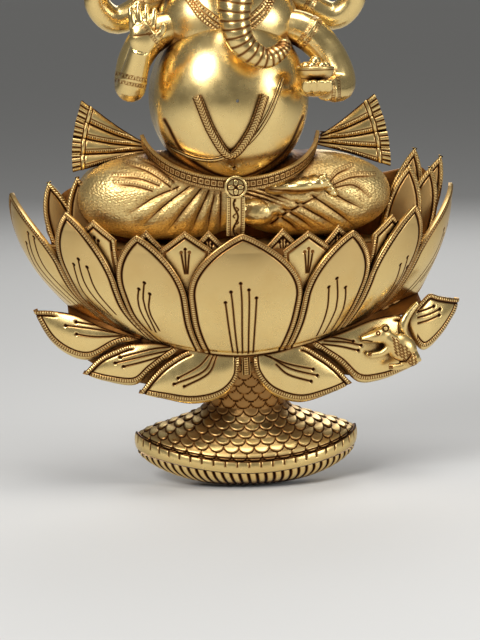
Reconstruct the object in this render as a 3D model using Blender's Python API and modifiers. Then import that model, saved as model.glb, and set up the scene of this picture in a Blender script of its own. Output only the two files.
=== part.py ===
"""A brass wall relief of Ganesha seated on a lotus, with a hanging ring behind the chest.

The wall is the plane y = 0 and the relief faces -Y.  X runs to the viewer's right and Z up.
The relief is cast in sections that are brazed together: a pedestal, drooping petals, the
petals of a lotus cup, and the seated figure with its dress, arms, head and crown.
"""
import math

import bmesh
import bpy
from mathutils import Vector

# ---------------------------------------------------------------- driving dimensions (metres)
GAP = 0.0004                    # left between brazed neighbours
DOME_BACK = -0.003              # where the figure's hollow castings end, just off the wall
WALL = 0.004                    # thickness of the hollow castings
PETAL_WALL = 0.005              # thickness of the cup's petals
DROOPING_WALL = 0.006           # thickness of the drooping petals
THIN_WALL = 0.003               # thickness of the liner, the band and the small petals
LINER_GAP = 0.0022              # between the backs of the cup's petals and the liner
MELD = 0.00005                  # corners closer than this are one corner

BOWL_FOOT_HALF_WIDTH = 0.172    # the lotus cup at its lower seam
BOWL_HALF_WIDTH = 0.226         # the lotus cup at its rim
BOWL_FOOT_DEPTH = 0.078
BOWL_DEPTH = 0.118
BOWL_SEAM = 0.139               # height of the seam at the front
BOWL_SEAM_RISE = 0.0465         # how much higher the seam is at the wall
BOWL_SWELL_HEIGHT = 0.112       # height over which the cup widens

SEAT_TOP = 0.247                # the plate that the figure sits on
SEAT_THICKNESS = 0.004

PEDESTAL_X = 0.006
PEDESTAL_HALF_WIDTH = 0.112
PEDESTAL_DEPTH = 0.074
NECK_HALF_WIDTH = 0.043
NECK_DEPTH = 0.045
NECK_HEIGHT = 0.078
BAND_TOP = 0.026
BAND_RISE = 0.0195

FIGURE_X = -0.006               # the figure sits a little to the left of the lotus

WIDEST = 0.46                   # share of a cup petal's height at which it is widest
INNER_FOOT = 0.2235             # where the small upright petals stand
FINGER = 0.0035                 # radius of a finger
TOOL_SHAFT = 0.0040             # radius of the held tools' shafts
FIGURE_VOXEL = 0.0022           # grain of the melted arms and trunk
LUG_ROUND = 0.0060              # half the height of the hanging lug and its bar
LUG_HALF = 0.0020               # half the thickness of the lug
LUG_HOLE = 0.0034               # radius of the hole through the lug
HANGER_HALF = 0.058             # half the length of the bar that carries the lug

# Edge angles of the cup's petals, from the front, with the angle and height of each tip.
CUP_PETALS = {
    "cup_petal_centre": (-15.2, 15.2, -1.0, 0.262),
    "cup_petal_left_1": (-35.7, -15.8, -28.0, 0.262),
    "cup_petal_right_1": (15.8, 35.7, 28.5, 0.261),
    "cup_petal_left_2": (-56.2, -36.3, -50.0, 0.284),
    "cup_petal_right_2": (36.3, 56.2, 51.0, 0.281),
    "cup_petal_left_3": (-89.6, -56.8, -84.0, 0.299),
    "cup_petal_right_3": (56.8, 89.6, 85.0, 0.297),
}
# Middle angle and tip height of the petals that stand behind them.
INNER_PETALS = {
    "inner_petal_left_2": (-42.0, 0.276),
    "inner_petal_left_1": (-15.6, 0.265),
    "inner_petal_right_1": (16.6, 0.262),
    "inner_petal_right_2": (43.5, 0.273),
}
SMALL_PETALS = {
    "small_petal_left_2": (-26.5, 0.266),
    "small_petal_left_1": (-9.5, 0.265),
    "small_petal_right_1": (10.0, 0.265),
    "small_petal_right_2": (26.0, 0.266),
}
# Root, upper edge and lower edge of the drooping petals, in x and z, and their tips.
DROOPING_PETALS = {
    "lower_petal_left_outer": {
        "root": (-0.100, 0.1550),
        "upper": [(-0.135, 0.1668), (-0.163, 0.1795), (-0.187, 0.1835)],
        "lower": [(-0.113, 0.1525), (-0.128, 0.1465), (-0.150, 0.1345), (-0.170, 0.138),
                  (-0.190, 0.154)],
        "tip": (-0.2056, 0.1835),
    },
    "lower_petal_left_middle": {
        "root": (-0.062, 0.1455),
        "upper": [(-0.085, 0.1512), (-0.110, 0.1505), (-0.126, 0.1452), (-0.143, 0.1365)],
        "lower": [(-0.0765, 0.1340), (-0.092, 0.1210), (-0.108, 0.1085), (-0.1347, 0.1122)],
        "tip": (-0.1587, 0.1208),
    },
    "lower_petal_left_inner": {
        "root": (-0.004, 0.1375),
        "upper": [(-0.030, 0.1398), (-0.0515, 0.1438), (-0.0744, 0.1325), (-0.0905, 0.1185)],
        "lower": [(-0.006, 0.1125), (-0.022, 0.0945), (-0.050, 0.0885), (-0.080, 0.0942)],
        "tip": (-0.1042, 0.1010),
    },
    "lower_petal_right_inner": {
        "root": (0.010, 0.1370),
        "upper": [(0.035, 0.1395), (0.0585, 0.1445), (0.0765, 0.1350), (0.094, 0.1215)],
        "lower": [(0.013, 0.1155), (0.028, 0.0960), (0.056, 0.0860), (0.086, 0.0925)],
        "tip": (0.1105, 0.1032),
    },
    "lower_petal_right_middle": {
        "root": (0.068, 0.1465),
        "upper": [(0.100, 0.1555), (0.135, 0.1672), (0.1635, 0.1675), (0.167, 0.1500),
                  (0.175, 0.1340)],
        "lower": [(0.081, 0.1350), (0.098, 0.1215), (0.117, 0.1035), (0.140, 0.1035),
                  (0.165, 0.1110)],
        "tip": (0.1844, 0.1213),
    },
    "lower_petal_right_outer": {
        "root": (0.1795, 0.1775),
        "upper": [(0.193, 0.1880), (0.2055, 0.1850), (0.2180, 0.1820)],
        "lower": [(0.170, 0.1600), (0.175, 0.1430), (0.188, 0.1305), (0.207, 0.1435),
                  (0.2230, 0.1640)],
        "tip": (0.2292, 0.1796),
    },
}
# Middle, width, height and lean of the upright petals against the wall, and their depth.
BACK_PETALS = {
    "back_petal_left_1": (-0.152, 0.036, 0.3150, -8, 0.030),
    "back_petal_left_2": (-0.186, 0.034, 0.3100, -16, 0.020),
    "back_petal_right_1": (0.176, 0.040, 0.3190, 8, 0.034),
    "back_petal_right_2": (0.200, 0.036, 0.3150, 14, 0.022),
    "back_petal_right_3": (0.186, 0.040, 0.3340, 12, 0.011),
    "back_petal_right_4": (0.214, 0.036, 0.3250, 22, 0.0055),
}
# Centre and half-axes of the rounded castings of the figure.
ROUNDED = {
    "belly": ((0.0, -0.055, 0.390), (0.077, 0.060, 0.084)),
    "chest": ((0.0, -0.044, 0.462), (0.070, 0.044, 0.056)),
    "head": ((0.0, -0.055, 0.530), (0.047, 0.052, 0.049)),
    "left_leg": ((-0.064, -0.042, 0.2935), (0.088, 0.047, 0.0435)),
    "right_leg": ((0.078, -0.042, 0.2925), (0.082, 0.047, 0.0420)),
    "crossed_foot": ((0.063, -0.080, 0.3045), (0.034, 0.017, 0.0085)),
    "tucked_heel": ((0.024, -0.078, 0.279), (0.022, 0.014, 0.0150)),
}


# The part of the trunk that the tusks stand beside, from the face down.
TRUNK_TOP = [(0.0, -0.095, 0.522), (0.0, -0.117, 0.500), (-0.003, -0.128, 0.470)]


# ---------------------------------------------------------------- scene and material helpers
def empty_scene():
    for old in list(bpy.data.objects):
        bpy.data.objects.remove(old, do_unlink=True)
    for name in ("ganesha_idol", "cutters"):
        collection = bpy.data.collections.new(name)
        bpy.context.scene.collection.children.link(collection)


def brass(name, colour=(0.58, 0.38, 0.13), roughness=0.32):
    material = bpy.data.materials.new(name)
    material.use_nodes = True
    shader = material.node_tree.nodes["Principled BSDF"]
    shader.inputs["Base Color"].default_value = (*colour, 1.0)
    shader.inputs["Metallic"].default_value = 1.0
    shader.inputs["Roughness"].default_value = roughness
    return material


def add_mesh(name, mesh, cutter=False):
    """Puts a mesh in the scene as a part, or as a cutter that the build leaves out."""
    obj = bpy.data.objects.new(name, mesh)
    bpy.data.collections["cutters" if cutter else "ganesha_idol"].objects.link(obj)
    if cutter:
        obj.hide_render = True
        obj.display_type = "WIRE"
    else:
        mesh.materials.clear()
        mesh.materials.append(brass(name))
        mesh.shade_smooth()
        mesh.set_sharp_from_angle(angle=math.radians(40))
    return obj


def mesh_of(bm, name):
    mesh = bpy.data.meshes.new(name)
    bm.to_mesh(mesh)
    bm.free()
    return mesh


def face_out(bm):
    bm.normal_update()
    bmesh.ops.recalc_face_normals(bm, faces=bm.faces)


def solidify(obj, thickness):
    modifier = obj.modifiers.new("wall", "SOLIDIFY")
    modifier.thickness = thickness
    modifier.offset = -1.0


def cut(obj, cutter, operation="DIFFERENCE"):
    modifier = obj.modifiers.new(operation.lower() + "_" + cutter.name, "BOOLEAN")
    modifier.operation = operation
    modifier.solver = "EXACT"
    modifier.object = cutter


def add_to(obj, helper):
    """Brazes a helper solid onto a part, so that the two are one casting."""
    cut(obj, helper, "UNION")


# ---------------------------------------------------------------- curves and surfaces
def spline(points, count):
    """Points evenly spaced in parameter on a Catmull-Rom curve through the given points."""
    knots = [Vector(p) for p in points]
    knots = [2 * knots[0] - knots[1], *knots, 2 * knots[-1] - knots[-2]]
    spans = len(knots) - 3
    result = []
    for i in range(count + 1):
        place = min(i / count * spans, spans - 1e-9)
        k = int(place)
        t = place - k
        a, b, c, d = knots[k:k + 4]
        result.append(0.5 * (2 * b + (c - a) * t + (2 * a - 5 * b + 4 * c - d) * t ** 2
                             + (3 * b - a - 3 * c + d) * t ** 3))
    return result


def shell(name, grid, thickness, outward=(0, -1, 0), cutter=False):
    """A closed plate whose outer face passes through a grid of points."""
    bm = bmesh.new()
    rows = [[bm.verts.new(p) for p in row] for row in grid]
    for lower, upper in zip(rows, rows[1:]):
        for i in range(len(lower) - 1):
            bm.faces.new((lower[i], lower[i + 1], upper[i + 1], upper[i]))
    bmesh.ops.remove_doubles(bm, verts=bm.verts, dist=MELD)
    bm.normal_update()
    facing = sum((f.normal * f.calc_area() for f in bm.faces), Vector())
    if facing.dot(Vector(outward)) < 0:
        bmesh.ops.reverse_faces(bm, faces=bm.faces)
    obj = add_mesh(name, mesh_of(bm, name), cutter)
    solidify(obj, thickness)
    return obj


def bowl_seam(angle):
    return BOWL_SEAM + BOWL_SEAM_RISE * abs(math.sin(angle)) ** 1.7


def bowl_point(angle, height, inset=0.0):
    """A point of the lotus cup: angle in radians from the front, height in metres."""
    share = min(max((height - bowl_seam(angle)) / BOWL_SWELL_HEIGHT, 0.0), 1.0)
    swell = 1 - (1 - share) ** 2
    half_width = BOWL_FOOT_HALF_WIDTH + (BOWL_HALF_WIDTH - BOWL_FOOT_HALF_WIDTH) * swell - inset
    depth = BOWL_FOOT_DEPTH + (BOWL_DEPTH - BOWL_FOOT_DEPTH) * swell - inset
    return Vector((half_width * math.sin(angle), -depth * math.cos(angle), height))


def cup_petal(name, low_angle, high_angle, tip_angle, tip_height, rows=8, columns=5):
    """A petal of the cup, widest below its middle and pointed like a Gothic arch."""
    middle = math.radians(low_angle + high_angle) / 2
    half = math.radians(high_angle - low_angle) / 2
    lean = math.radians(tip_angle) - middle
    grid = []
    for i in range(rows + 1):
        share = i / rows
        if share < WIDEST:
            spread = 0.77 + 0.23 * math.sin(math.pi / 2 * share / WIDEST)
            offset = 0.0
        else:
            below_tip = (1 - share) / (1 - WIDEST)
            spread = math.sin(math.pi / 2 * below_tip ** 0.8)
            offset = lean * (1 - below_tip) ** 1.3
        row = []
        for j in range(columns + 1):
            across = 2 * j / columns - 1
            angle = middle + offset + half * spread * across
            seam = bowl_seam(angle)
            height = seam + (tip_height - seam) * share
            cushion = 0.003 * (1 - across ** 2) * math.sin(math.pi * min(1.0, share + 0.15))
            row.append(bowl_point(angle, height, -cushion))
        grid.append(row)
    return shell(name, grid, PETAL_WALL)


def standing_petal(name, middle_angle, tip_height, half_width, inset, rows=4, columns=2):
    """A small pointed petal that stands inside the cup."""
    middle = math.radians(middle_angle)
    half = half_width / (BOWL_HALF_WIDTH - inset)
    grid = []
    for i in range(rows + 1):
        share = i / rows
        spread = min(1.0, 2.2 * (1 - share)) * (0.8 + 0.2 * share)
        row = []
        for j in range(columns + 1):
            angle = middle + half * spread * (2 * j / columns - 1)
            row.append(bowl_point(angle, INNER_FOOT + (tip_height - INNER_FOOT) * share, inset))
        grid.append(row)
    return shell(name, grid, THIN_WALL)


def drooping_petal(name, shape, rows=9, columns=4):
    """A drooping petal between an upper and a lower edge that run from its root to its tip."""
    upper = spline([shape["root"], *shape["upper"], shape["tip"]], rows)
    lower = spline([shape["root"], *shape["lower"], shape["tip"]], rows)
    grid = []
    for i, (high, low) in enumerate(zip(upper, lower)):
        rise = math.sin(math.pi * i / rows)
        row = []
        for j in range(columns + 1):
            share = j / columns
            x, z = low.lerp(high, share)
            front = 0.072 * math.sqrt(1 - (x / 0.240) ** 2)
            bulge = 0.005 * rise * (1 - (2 * share - 1) ** 2)
            row.append((x, -front - bulge, z))
        grid.append(row)
    return shell(name, grid, DROOPING_WALL)


def back_petal(name, middle, width, tip_height, lean, depth, rows=4, columns=2):
    """An upright pointed petal against the wall, beside a knee."""
    foot = SEAT_TOP + GAP
    slope = math.tan(math.radians(lean))
    grid = []
    for i in range(rows + 1):
        share = i / rows
        spread = math.sin(math.pi / 2 * min(1.0, 1.25 * (1 - share)) ** 0.8)
        height = foot + (tip_height - foot) * share
        row = []
        for j in range(columns + 1):
            across = 2 * j / columns - 1
            x = middle + slope * (height - tip_height) + width / 2 * spread * across
            row.append((x, -depth - 0.002 * (1 - across ** 2), height))
        grid.append(row)
    return shell(name, grid, THIN_WALL)


def ellipsoid(name, centre, axes, segments=16, rings=9, cutter=False):
    bm = bmesh.new()
    bmesh.ops.create_uvsphere(bm, u_segments=segments, v_segments=rings, radius=1.0)
    for vertex in bm.verts:
        vertex.co = Vector(c + a * v for c, a, v in zip(centre, axes, vertex.co))
    return add_mesh(name, mesh_of(bm, name), cutter)


def placed(name, grow=0.0):
    """Centre and half-axes of a rounded casting, moved to the figure's place."""
    centre, axes = ROUNDED[name]
    return (centre[0] + FIGURE_X, centre[1], centre[2]), tuple(a + grow for a in axes)


def dome_mesh(name, centre, axes, closed, around=16, rings=5):
    """Half an ellipsoid that faces forward, with a straight skirt back to the wall."""
    bm = bmesh.new()
    nose = bm.verts.new((centre[0], centre[1] - axes[1], centre[2]))
    steps = [math.pi / 2 * k / rings for k in range(1, rings + 1)]
    depths = [centre[1] - axes[1] * math.cos(t) for t in steps] + [DOME_BACK]
    sizes = [math.sin(t) for t in steps] + [1.0]
    circles = []
    for size, y in zip(sizes, depths):
        turns = [2 * math.pi * k / around for k in range(around)]
        circles.append([bm.verts.new((centre[0] + axes[0] * size * math.cos(t), y,
                                      centre[2] + axes[2] * size * math.sin(t))) for t in turns])
    for k in range(around):
        bm.faces.new((nose, circles[0][k], circles[0][(k + 1) % around]))
    for first, second in zip(circles, circles[1:]):
        for k in range(around):
            after = (k + 1) % around
            bm.faces.new((first[k], second[k], second[after], first[after]))
    if closed:
        bm.faces.new(circles[-1])
        face_out(bm)
    return mesh_of(bm, name)


def rounded_cutter(name):
    centre, axes = placed(name, GAP)
    return add_mesh("clear_of_" + name, dome_mesh(name, centre, axes, closed=True), cutter=True)


def rounded_shell(name, floor=None):
    """A hollow casting, open at the wall and flat where it stands on the seat."""
    centre, axes = placed(name)
    obj = add_mesh(name, dome_mesh(name, centre, axes, closed=False))
    if floor is not None:
        bm = bmesh.new()
        bm.from_mesh(obj.data)
        everything = bm.verts[:] + bm.edges[:] + bm.faces[:]
        bmesh.ops.bisect_plane(bm, geom=everything, plane_co=(0, 0, floor), plane_no=(0, 0, -1),
                               clear_outer=True)
        bm.to_mesh(obj.data)
        bm.free()
    solidify(obj, WALL)
    return obj


def box(name, low, high, cutter=False):
    bm = bmesh.new()
    bmesh.ops.create_cube(bm, size=1.0)
    for vertex in bm.verts:
        vertex.co = Vector((a + b) / 2 + v * (b - a) for a, b, v in zip(low, high, vertex.co))
    return add_mesh(name, mesh_of(bm, name), cutter)


def tube_mesh(points, radii, count=10, sides=8):
    """A tapered round bar along a smooth route, as a mesh with closed ends."""
    route = spline(points, count)
    sizes = [v[0] for v in spline([(r, 0.0) for r in radii], count)]
    bm = bmesh.new()
    side = Vector((0, 1, 0))
    rings = []
    for i, (point, size) in enumerate(zip(route, sizes)):
        ahead = (route[min(i + 1, count)] - route[max(i - 1, 0)]).normalized()
        side = (side - ahead * side.dot(ahead)).normalized()
        other = ahead.cross(side)
        turns = [2 * math.pi * k / sides for k in range(sides)]
        around = [side * math.cos(t) + other * math.sin(t) for t in turns]
        rings.append([bm.verts.new(point + size * way) for way in around])
    for first, second in zip(rings, rings[1:]):
        for k in range(sides):
            after = (k + 1) % sides
            bm.faces.new((first[k], first[after], second[after], second[k]))
    bm.faces.new(rings[0][::-1])
    bm.faces.new(rings[-1])
    face_out(bm)
    return mesh_of(bm, "tube")


def blob_mesh(centre, axes):
    bm = bmesh.new()
    bmesh.ops.create_uvsphere(bm, u_segments=12, v_segments=8, radius=1.0)
    for vertex in bm.verts:
        vertex.co = Vector(c + a * v for c, a, v in zip(centre, axes, vertex.co))
    return mesh_of(bm, "blob")


def shift(points):
    return [(x + FIGURE_X, y, z) for x, y, z in points]


def modelled(name, meshes, voxel, triangles, cutters=(), helper=False):
    """One soft casting: overlapping tubes and blobs melted together, then trimmed."""
    bm = bmesh.new()
    for mesh in meshes:
        bm.from_mesh(mesh)
        bpy.data.meshes.remove(mesh)
    obj = add_mesh(name, mesh_of(bm, name), helper)
    remesh = obj.modifiers.new("melt", "REMESH")
    remesh.mode = "VOXEL"
    remesh.voxel_size = voxel
    bpy.context.view_layer.update()
    melted = obj.evaluated_get(bpy.context.evaluated_depsgraph_get()).to_mesh()
    melted.calc_loop_triangles()
    count = len(melted.loop_triangles)
    thin = obj.modifiers.new("thin", "DECIMATE")
    thin.ratio = min(1.0, triangles / max(count, 1))
    for cutter in cutters:
        cut(obj, cutter)
    return obj


def strip(name, route, outward, width, thickness):
    """A flat strap along a route; outward gives the way its face looks at each point."""
    bm = bmesh.new()
    sections = []
    last = len(route) - 1
    for i, (point, face) in enumerate(zip(route, outward)):
        ahead = (route[min(i + 1, last)] - route[max(i - 1, 0)]).normalized()
        side = ahead.cross(face).normalized()
        up = side.cross(ahead).normalized()
        corners = [(-0.5, 0), (0.5, 0), (0.5, 1), (-0.5, 1)]
        places = [point + side * (width * a) + up * (thickness * b) for a, b in corners]
        sections.append([bm.verts.new(place) for place in places])
    for first, second in zip(sections, sections[1:]):
        for k in range(4):
            after = (k + 1) % 4
            bm.faces.new((first[k], first[after], second[after], second[k]))
    bm.faces.new(sections[0][::-1])
    bm.faces.new(sections[-1])
    face_out(bm)
    return add_mesh(name, mesh_of(bm, name))


def on_rounded(name, x, z, lift):
    """The front of a rounded casting at a given x and z, and the way it faces there."""
    centre, axes = placed(name)
    a = (x - centre[0]) / axes[0]
    c = (z - centre[2]) / axes[2]
    b = -math.sqrt(max(0.0, 1 - a * a - c * c))
    face = Vector((a / axes[0], b / axes[1], c / axes[2])).normalized()
    return Vector((x, centre[1] + b * axes[1], z)) + face * lift, face


def outline_plate(name, points, low_y, high_y, smooth_count=None):
    """A flat plate cut to an outline in x and z, from low_y (front) to high_y (back)."""
    corners = points
    if smooth_count:
        corners = [tuple(p) for p in spline([*points, points[0]], smooth_count)[:-1]]
    curve = bpy.data.curves.new(name, "CURVE")
    curve.dimensions = "2D"
    curve.fill_mode = "BOTH"
    curve.extrude = (high_y - low_y) / 2
    line = curve.splines.new("POLY")
    line.points.add(len(corners) - 1)
    for point, (x, z) in zip(line.points, corners):
        point.co = (x, z, 0, 1)
    line.use_cyclic_u = True
    flat = bpy.data.objects.new(name + "_outline", curve)
    bpy.data.collections["cutters"].objects.link(flat)
    bpy.context.view_layer.update()
    graph = bpy.context.evaluated_depsgraph_get()
    mesh = bpy.data.meshes.new_from_object(flat.evaluated_get(graph))
    bpy.data.objects.remove(flat, do_unlink=True)
    bm = bmesh.new()
    bm.from_mesh(mesh)
    bmesh.ops.remove_doubles(bm, verts=bm.verts, dist=MELD)
    for vertex in bm.verts:
        x, z, y = vertex.co
        vertex.co = (x, y + (low_y + high_y) / 2, z)
    face_out(bm)
    bpy.data.meshes.remove(mesh)
    return add_mesh(name, mesh_of(bm, name))


# ---------------------------------------------------------------- the pedestal
def pedestal_point(angle, rise):
    """rise 0 is the top of the ticked band, 1 the neck, 2 the underside of the cup."""
    band = BAND_TOP + BAND_RISE * math.sin(angle) ** 2
    if rise <= 1:
        flare = math.cos(math.pi / 2 * rise) ** 2
        half_width = NECK_HALF_WIDTH + (PEDESTAL_HALF_WIDTH - NECK_HALF_WIDTH) * flare
        depth = NECK_DEPTH + (PEDESTAL_DEPTH - 0.002 - NECK_DEPTH) * flare
        height = band + (NECK_HEIGHT - band) * rise
    else:
        flare = (rise - 1) ** 1.5
        half_width = NECK_HALF_WIDTH + (BOWL_FOOT_HALF_WIDTH - 0.012 - NECK_HALF_WIDTH) * flare
        depth = NECK_DEPTH + (BOWL_FOOT_DEPTH - 0.013 - NECK_DEPTH) * (rise - 1)
        height = NECK_HEIGHT + (bowl_seam(angle) - 0.003 - NECK_HEIGHT) * (rise - 1)
    return Vector((PEDESTAL_X + half_width * math.sin(angle), -depth * math.cos(angle), height))


def arc_angles(count, limit=90.0):
    return [math.radians(-limit + 2 * limit * i / count) for i in range(count + 1)]


def make_pedestal():
    wall = bpy.data.objects["wall"]
    rises = [0.0, 0.2, 0.4, 0.6, 0.8, 1.0, 1.25, 1.5, 1.75, 2.0]
    grid = [[pedestal_point(a, r) for a in arc_angles(14)] for r in rises]
    cut(shell("scaled_pedestal", grid, WALL), wall)

    # The ticked band is a half ring below the scales, and the ribbed keel closes it below.
    band_rows = []
    for drop, swell in ((0.0007, 0.0005), (0.0047, 0.002), (0.0090, 0.001)):
        row = []
        for a in arc_angles(14):
            point = pedestal_point(a, 0.0)
            point.x += swell * math.sin(a)
            point.y -= swell * math.cos(a)
            point.z -= drop + 0.0035 * math.sin(a) ** 4
            row.append(point)
        band_rows.append(row)
    cut(shell("ticked_band", band_rows, THIN_WALL), wall)
    keel_rows = []
    for share in (0.0, 0.25, 0.5, 0.75, 1.0):
        row = []
        for a in arc_angles(14):
            point = pedestal_point(a, 0.0)
            turn = math.pi / 2 * share
            shrink = 1 - 0.40 * (1 - math.cos(turn))
            top = point.z - 0.0100 - 0.0060 * math.sin(a) ** 4
            fall = 0.999 * math.sin(turn) * math.sqrt(max(0.0, math.cos(a)))
            height = min(top * (1 - fall), top - GAP * share)
            row.append((PEDESTAL_X + (point.x - PEDESTAL_X) * shrink, point.y * shrink, height))
        keel_rows.append(row)
    cut(shell("ribbed_keel", keel_rows, WALL, outward=(0, -1, -1)), wall)

    # A flat web closes the pedestal against the wall.
    foot_half, top_half, top_height = 0.062, 0.036, 0.066
    edge = [(PEDESTAL_X + foot_half * math.sin(a), 0.0015 + 0.028 * math.sin(a) ** 2) for a in arc_angles(10)]
    top = [(PEDESTAL_X + top_half, top_height), (PEDESTAL_X - top_half, top_height)]
    outline_plate("pedestal_back", edge + top, -WALL, 0.0)


# ---------------------------------------------------------------- the lotus
def make_lotus(clear):
    wall = bpy.data.objects["wall"]
    for name, shape in CUP_PETALS.items():
        cut(cup_petal(name, *shape), wall)
    liner_inset = PETAL_WALL + LINER_GAP
    liner_top = 0.222
    grid = []
    for share in (0.02, 0.25, 0.5, 0.75, 1.0):
        row = []
        for a in arc_angles(16):
            seam = bowl_seam(a)
            row.append(bowl_point(a, seam + (liner_top - seam) * share, liner_inset))
        grid.append(row)
    cut(shell("cup_liner", grid, THIN_WALL), wall)

    inner_half, small_half, small_step_in = 0.032, 0.021, 0.004
    for name, (angle, tip) in INNER_PETALS.items():
        standing_petal(name, angle, tip, inner_half, liner_inset)
    for name, (angle, tip) in SMALL_PETALS.items():
        standing_petal(name, angle, tip, small_half, liner_inset + small_step_in)
    for name, shape in DROOPING_PETALS.items():
        drooping_petal(name, shape)
    for name, shape in BACK_PETALS.items():
        cut(back_petal(name, *shape), clear["left_leg" if "left" in name else "right_leg"])

    rim = BOWL_HALF_WIDTH - liner_inset - 0.015
    front = BOWL_DEPTH - liner_inset - 0.011
    outline = [(rim * math.sin(a), -front * math.cos(a)) for a in arc_angles(24, 82)]
    bm = bmesh.new()
    corners = [bm.verts.new((x, y, SEAT_TOP - SEAT_THICKNESS)) for x, y in outline]
    base = bm.faces.new(corners)
    lifted = bmesh.ops.extrude_face_region(bm, geom=[base])["geom"]
    for part in lifted:
        if isinstance(part, bmesh.types.BMVert):
            part.co.z = SEAT_TOP
    face_out(bm)
    add_mesh("seat_plate", mesh_of(bm, "seat_plate"))


# ---------------------------------------------------------------- the mouse on a petal
def make_mouse():
    depth = -0.071
    parts = [
        blob_mesh((0.160, depth, 0.138), (0.017, 0.010, 0.014)),
        blob_mesh((0.167, depth, 0.127), (0.011, 0.010, 0.009)),
        blob_mesh((0.137, depth, 0.1525), (0.011, 0.008, 0.0070)),
        tube_mesh([(0.140, depth, 0.151), (0.128, depth, 0.1505), (0.119, depth, 0.1485)],
                  [0.006, 0.0045, 0.002]),
        tube_mesh([(0.152, depth, 0.146), (0.1415, depth, 0.134), (0.127, depth, 0.131)],
                  [0.005, 0.0035, 0.003]),
        tube_mesh([(0.167, depth, 0.122), (0.155, depth, 0.119), (0.146, depth, 0.1195)],
                  [0.004, 0.0035, 0.003]),
        blob_mesh((0.1425, depth - 0.003, 0.159), (0.0045, 0.005, 0.0045)),
    ]
    flat_back = box("mouse_back", (0.10, -0.0668, 0.09), (0.20, -0.03, 0.20), cutter=True)
    modelled("mouse", parts, 0.0014, 460, [flat_back])


# ---------------------------------------------------------------- the seated figure
def make_body(clear):
    rounded_shell("belly")
    chest = rounded_shell("chest")
    cut(chest, clear["belly"])
    left = rounded_shell("left_leg", floor=SEAT_TOP + GAP)
    cut(left, clear["belly"])
    right = rounded_shell("right_leg", floor=SEAT_TOP + GAP)
    centre, axes = placed("tucked_heel")
    add_to(right, ellipsoid("tucked_heel", centre, axes, 12, 7, cutter=True))
    cut(right, clear["belly"])
    cut(right, clear["left_leg"])
    centre, axes = placed("crossed_foot")
    foot = ellipsoid("crossed_foot", centre, axes, 12, 7)
    for other in ("belly", "left_leg", "right_leg"):
        cut(foot, clear[other])
    head = rounded_shell("head")
    cut(head, clear["chest"])
    return head


def make_dress(clear):
    # The belt runs under the belly from one side of the waist to the other.
    turns = arc_angles(14, 84)
    route = [Vector((FIGURE_X + 0.086 * math.sin(a), -0.034 - 0.072 * math.cos(a),
                     0.310 + 0.046 * (1 - math.cos(a)))) for a in turns]
    faces = [Vector((math.sin(a), -math.cos(a), -0.25)).normalized() for a in turns]
    belt = strip("waist_belt", route, faces, 0.012, 0.003)
    bm = bmesh.new()
    bmesh.ops.create_cone(bm, cap_ends=True, segments=16, radius1=0.0112, radius2=0.0112, depth=0.005)
    for vertex in bm.verts:
        x, y, z = vertex.co
        vertex.co = (x + FIGURE_X - 0.003, z - 0.1105, y + 0.307)
    face_out(bm)
    add_to(belt, add_mesh("belt_medallion", mesh_of(bm, "belt_medallion"), cutter=True))
    for name in ("belly", "left_leg", "right_leg"):
        cut(belt, clear[name])

    drop = [Vector((FIGURE_X - 0.003, -y, z)) for y, z in
            ((0.1095, 0.2945), (0.107, 0.283), (0.104, 0.271), (0.100, 0.2585))]
    strip("waist_sash", drop, [Vector((0, -1, 0))] * len(drop), 0.0175, 0.003)

    # The sacred thread crosses the belly from the left shoulder to the right hip.
    places = spline([(-0.067, 0.344), (-0.045, 0.3345), (-0.022, 0.334), (0.004, 0.349), (0.024, 0.375),
                     (0.040, 0.410)], 14)
    pairs = [on_rounded("belly", x, z, GAP) for x, z in places]
    strip("sacred_thread", [p for p, _ in pairs], [f for _, f in pairs], 0.006, 0.0015)

    places = spline([(-0.044, 0.395), (-0.030, 0.360), (-0.0125, 0.3385), (0.006, 0.360), (0.020, 0.395)], 12)
    pairs = [on_rounded("belly", x, z, GAP + 0.0022) for x, z in places]
    strip("garland", [p for p, _ in pairs], [f for _, f in pairs], 0.009, 0.002)

    # Two pleated scarf ends fan out beside the waist.
    scarf_front, scarf_back = -0.028, -0.022
    left_fan = [(-0.088, 0.335), (-0.125, 0.3265), (-0.163, 0.3165), (-0.166, 0.336), (-0.1675, 0.356),
                (-0.163, 0.378), (-0.152, 0.392), (-0.118, 0.366)]
    scarf = outline_plate("scarf_left", left_fan, scarf_front, scarf_back)
    cut(scarf, clear["belly"])
    cut(scarf, clear["left_leg"])
    right_fan = [(0.086, 0.339), (0.120, 0.3285), (0.160, 0.3145), (0.1625, 0.336), (0.1605, 0.356),
                 (0.155, 0.378), (0.144, 0.392), (0.110, 0.366)]
    scarf = outline_plate("scarf_right", right_fan, scarf_front, scarf_back)
    cut(scarf, clear["belly"])
    cut(scarf, clear["right_leg"])


def finger_meshes(palm, spread, length, radius):
    """Four fingers that rise from a palm."""
    meshes = []
    for k in range(4):
        start = Vector(palm) + Vector((spread * (k - 1.5), 0, 0))
        end = start + Vector((spread * 0.25 * (k - 1.5), 0.002, length * (0.92, 1.06, 1.0, 0.84)[k]))
        meshes.append(tube_mesh([start, (start + end) / 2, end], [radius] * 3, 4, 6))
    return meshes


def digit(palm, offsets, radii):
    """A thumb or a bent finger, given by its offsets from the middle of the palm."""
    return tube_mesh([Vector(palm) + Vector(offset) for offset in offsets], radii, 4, 6)


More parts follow.
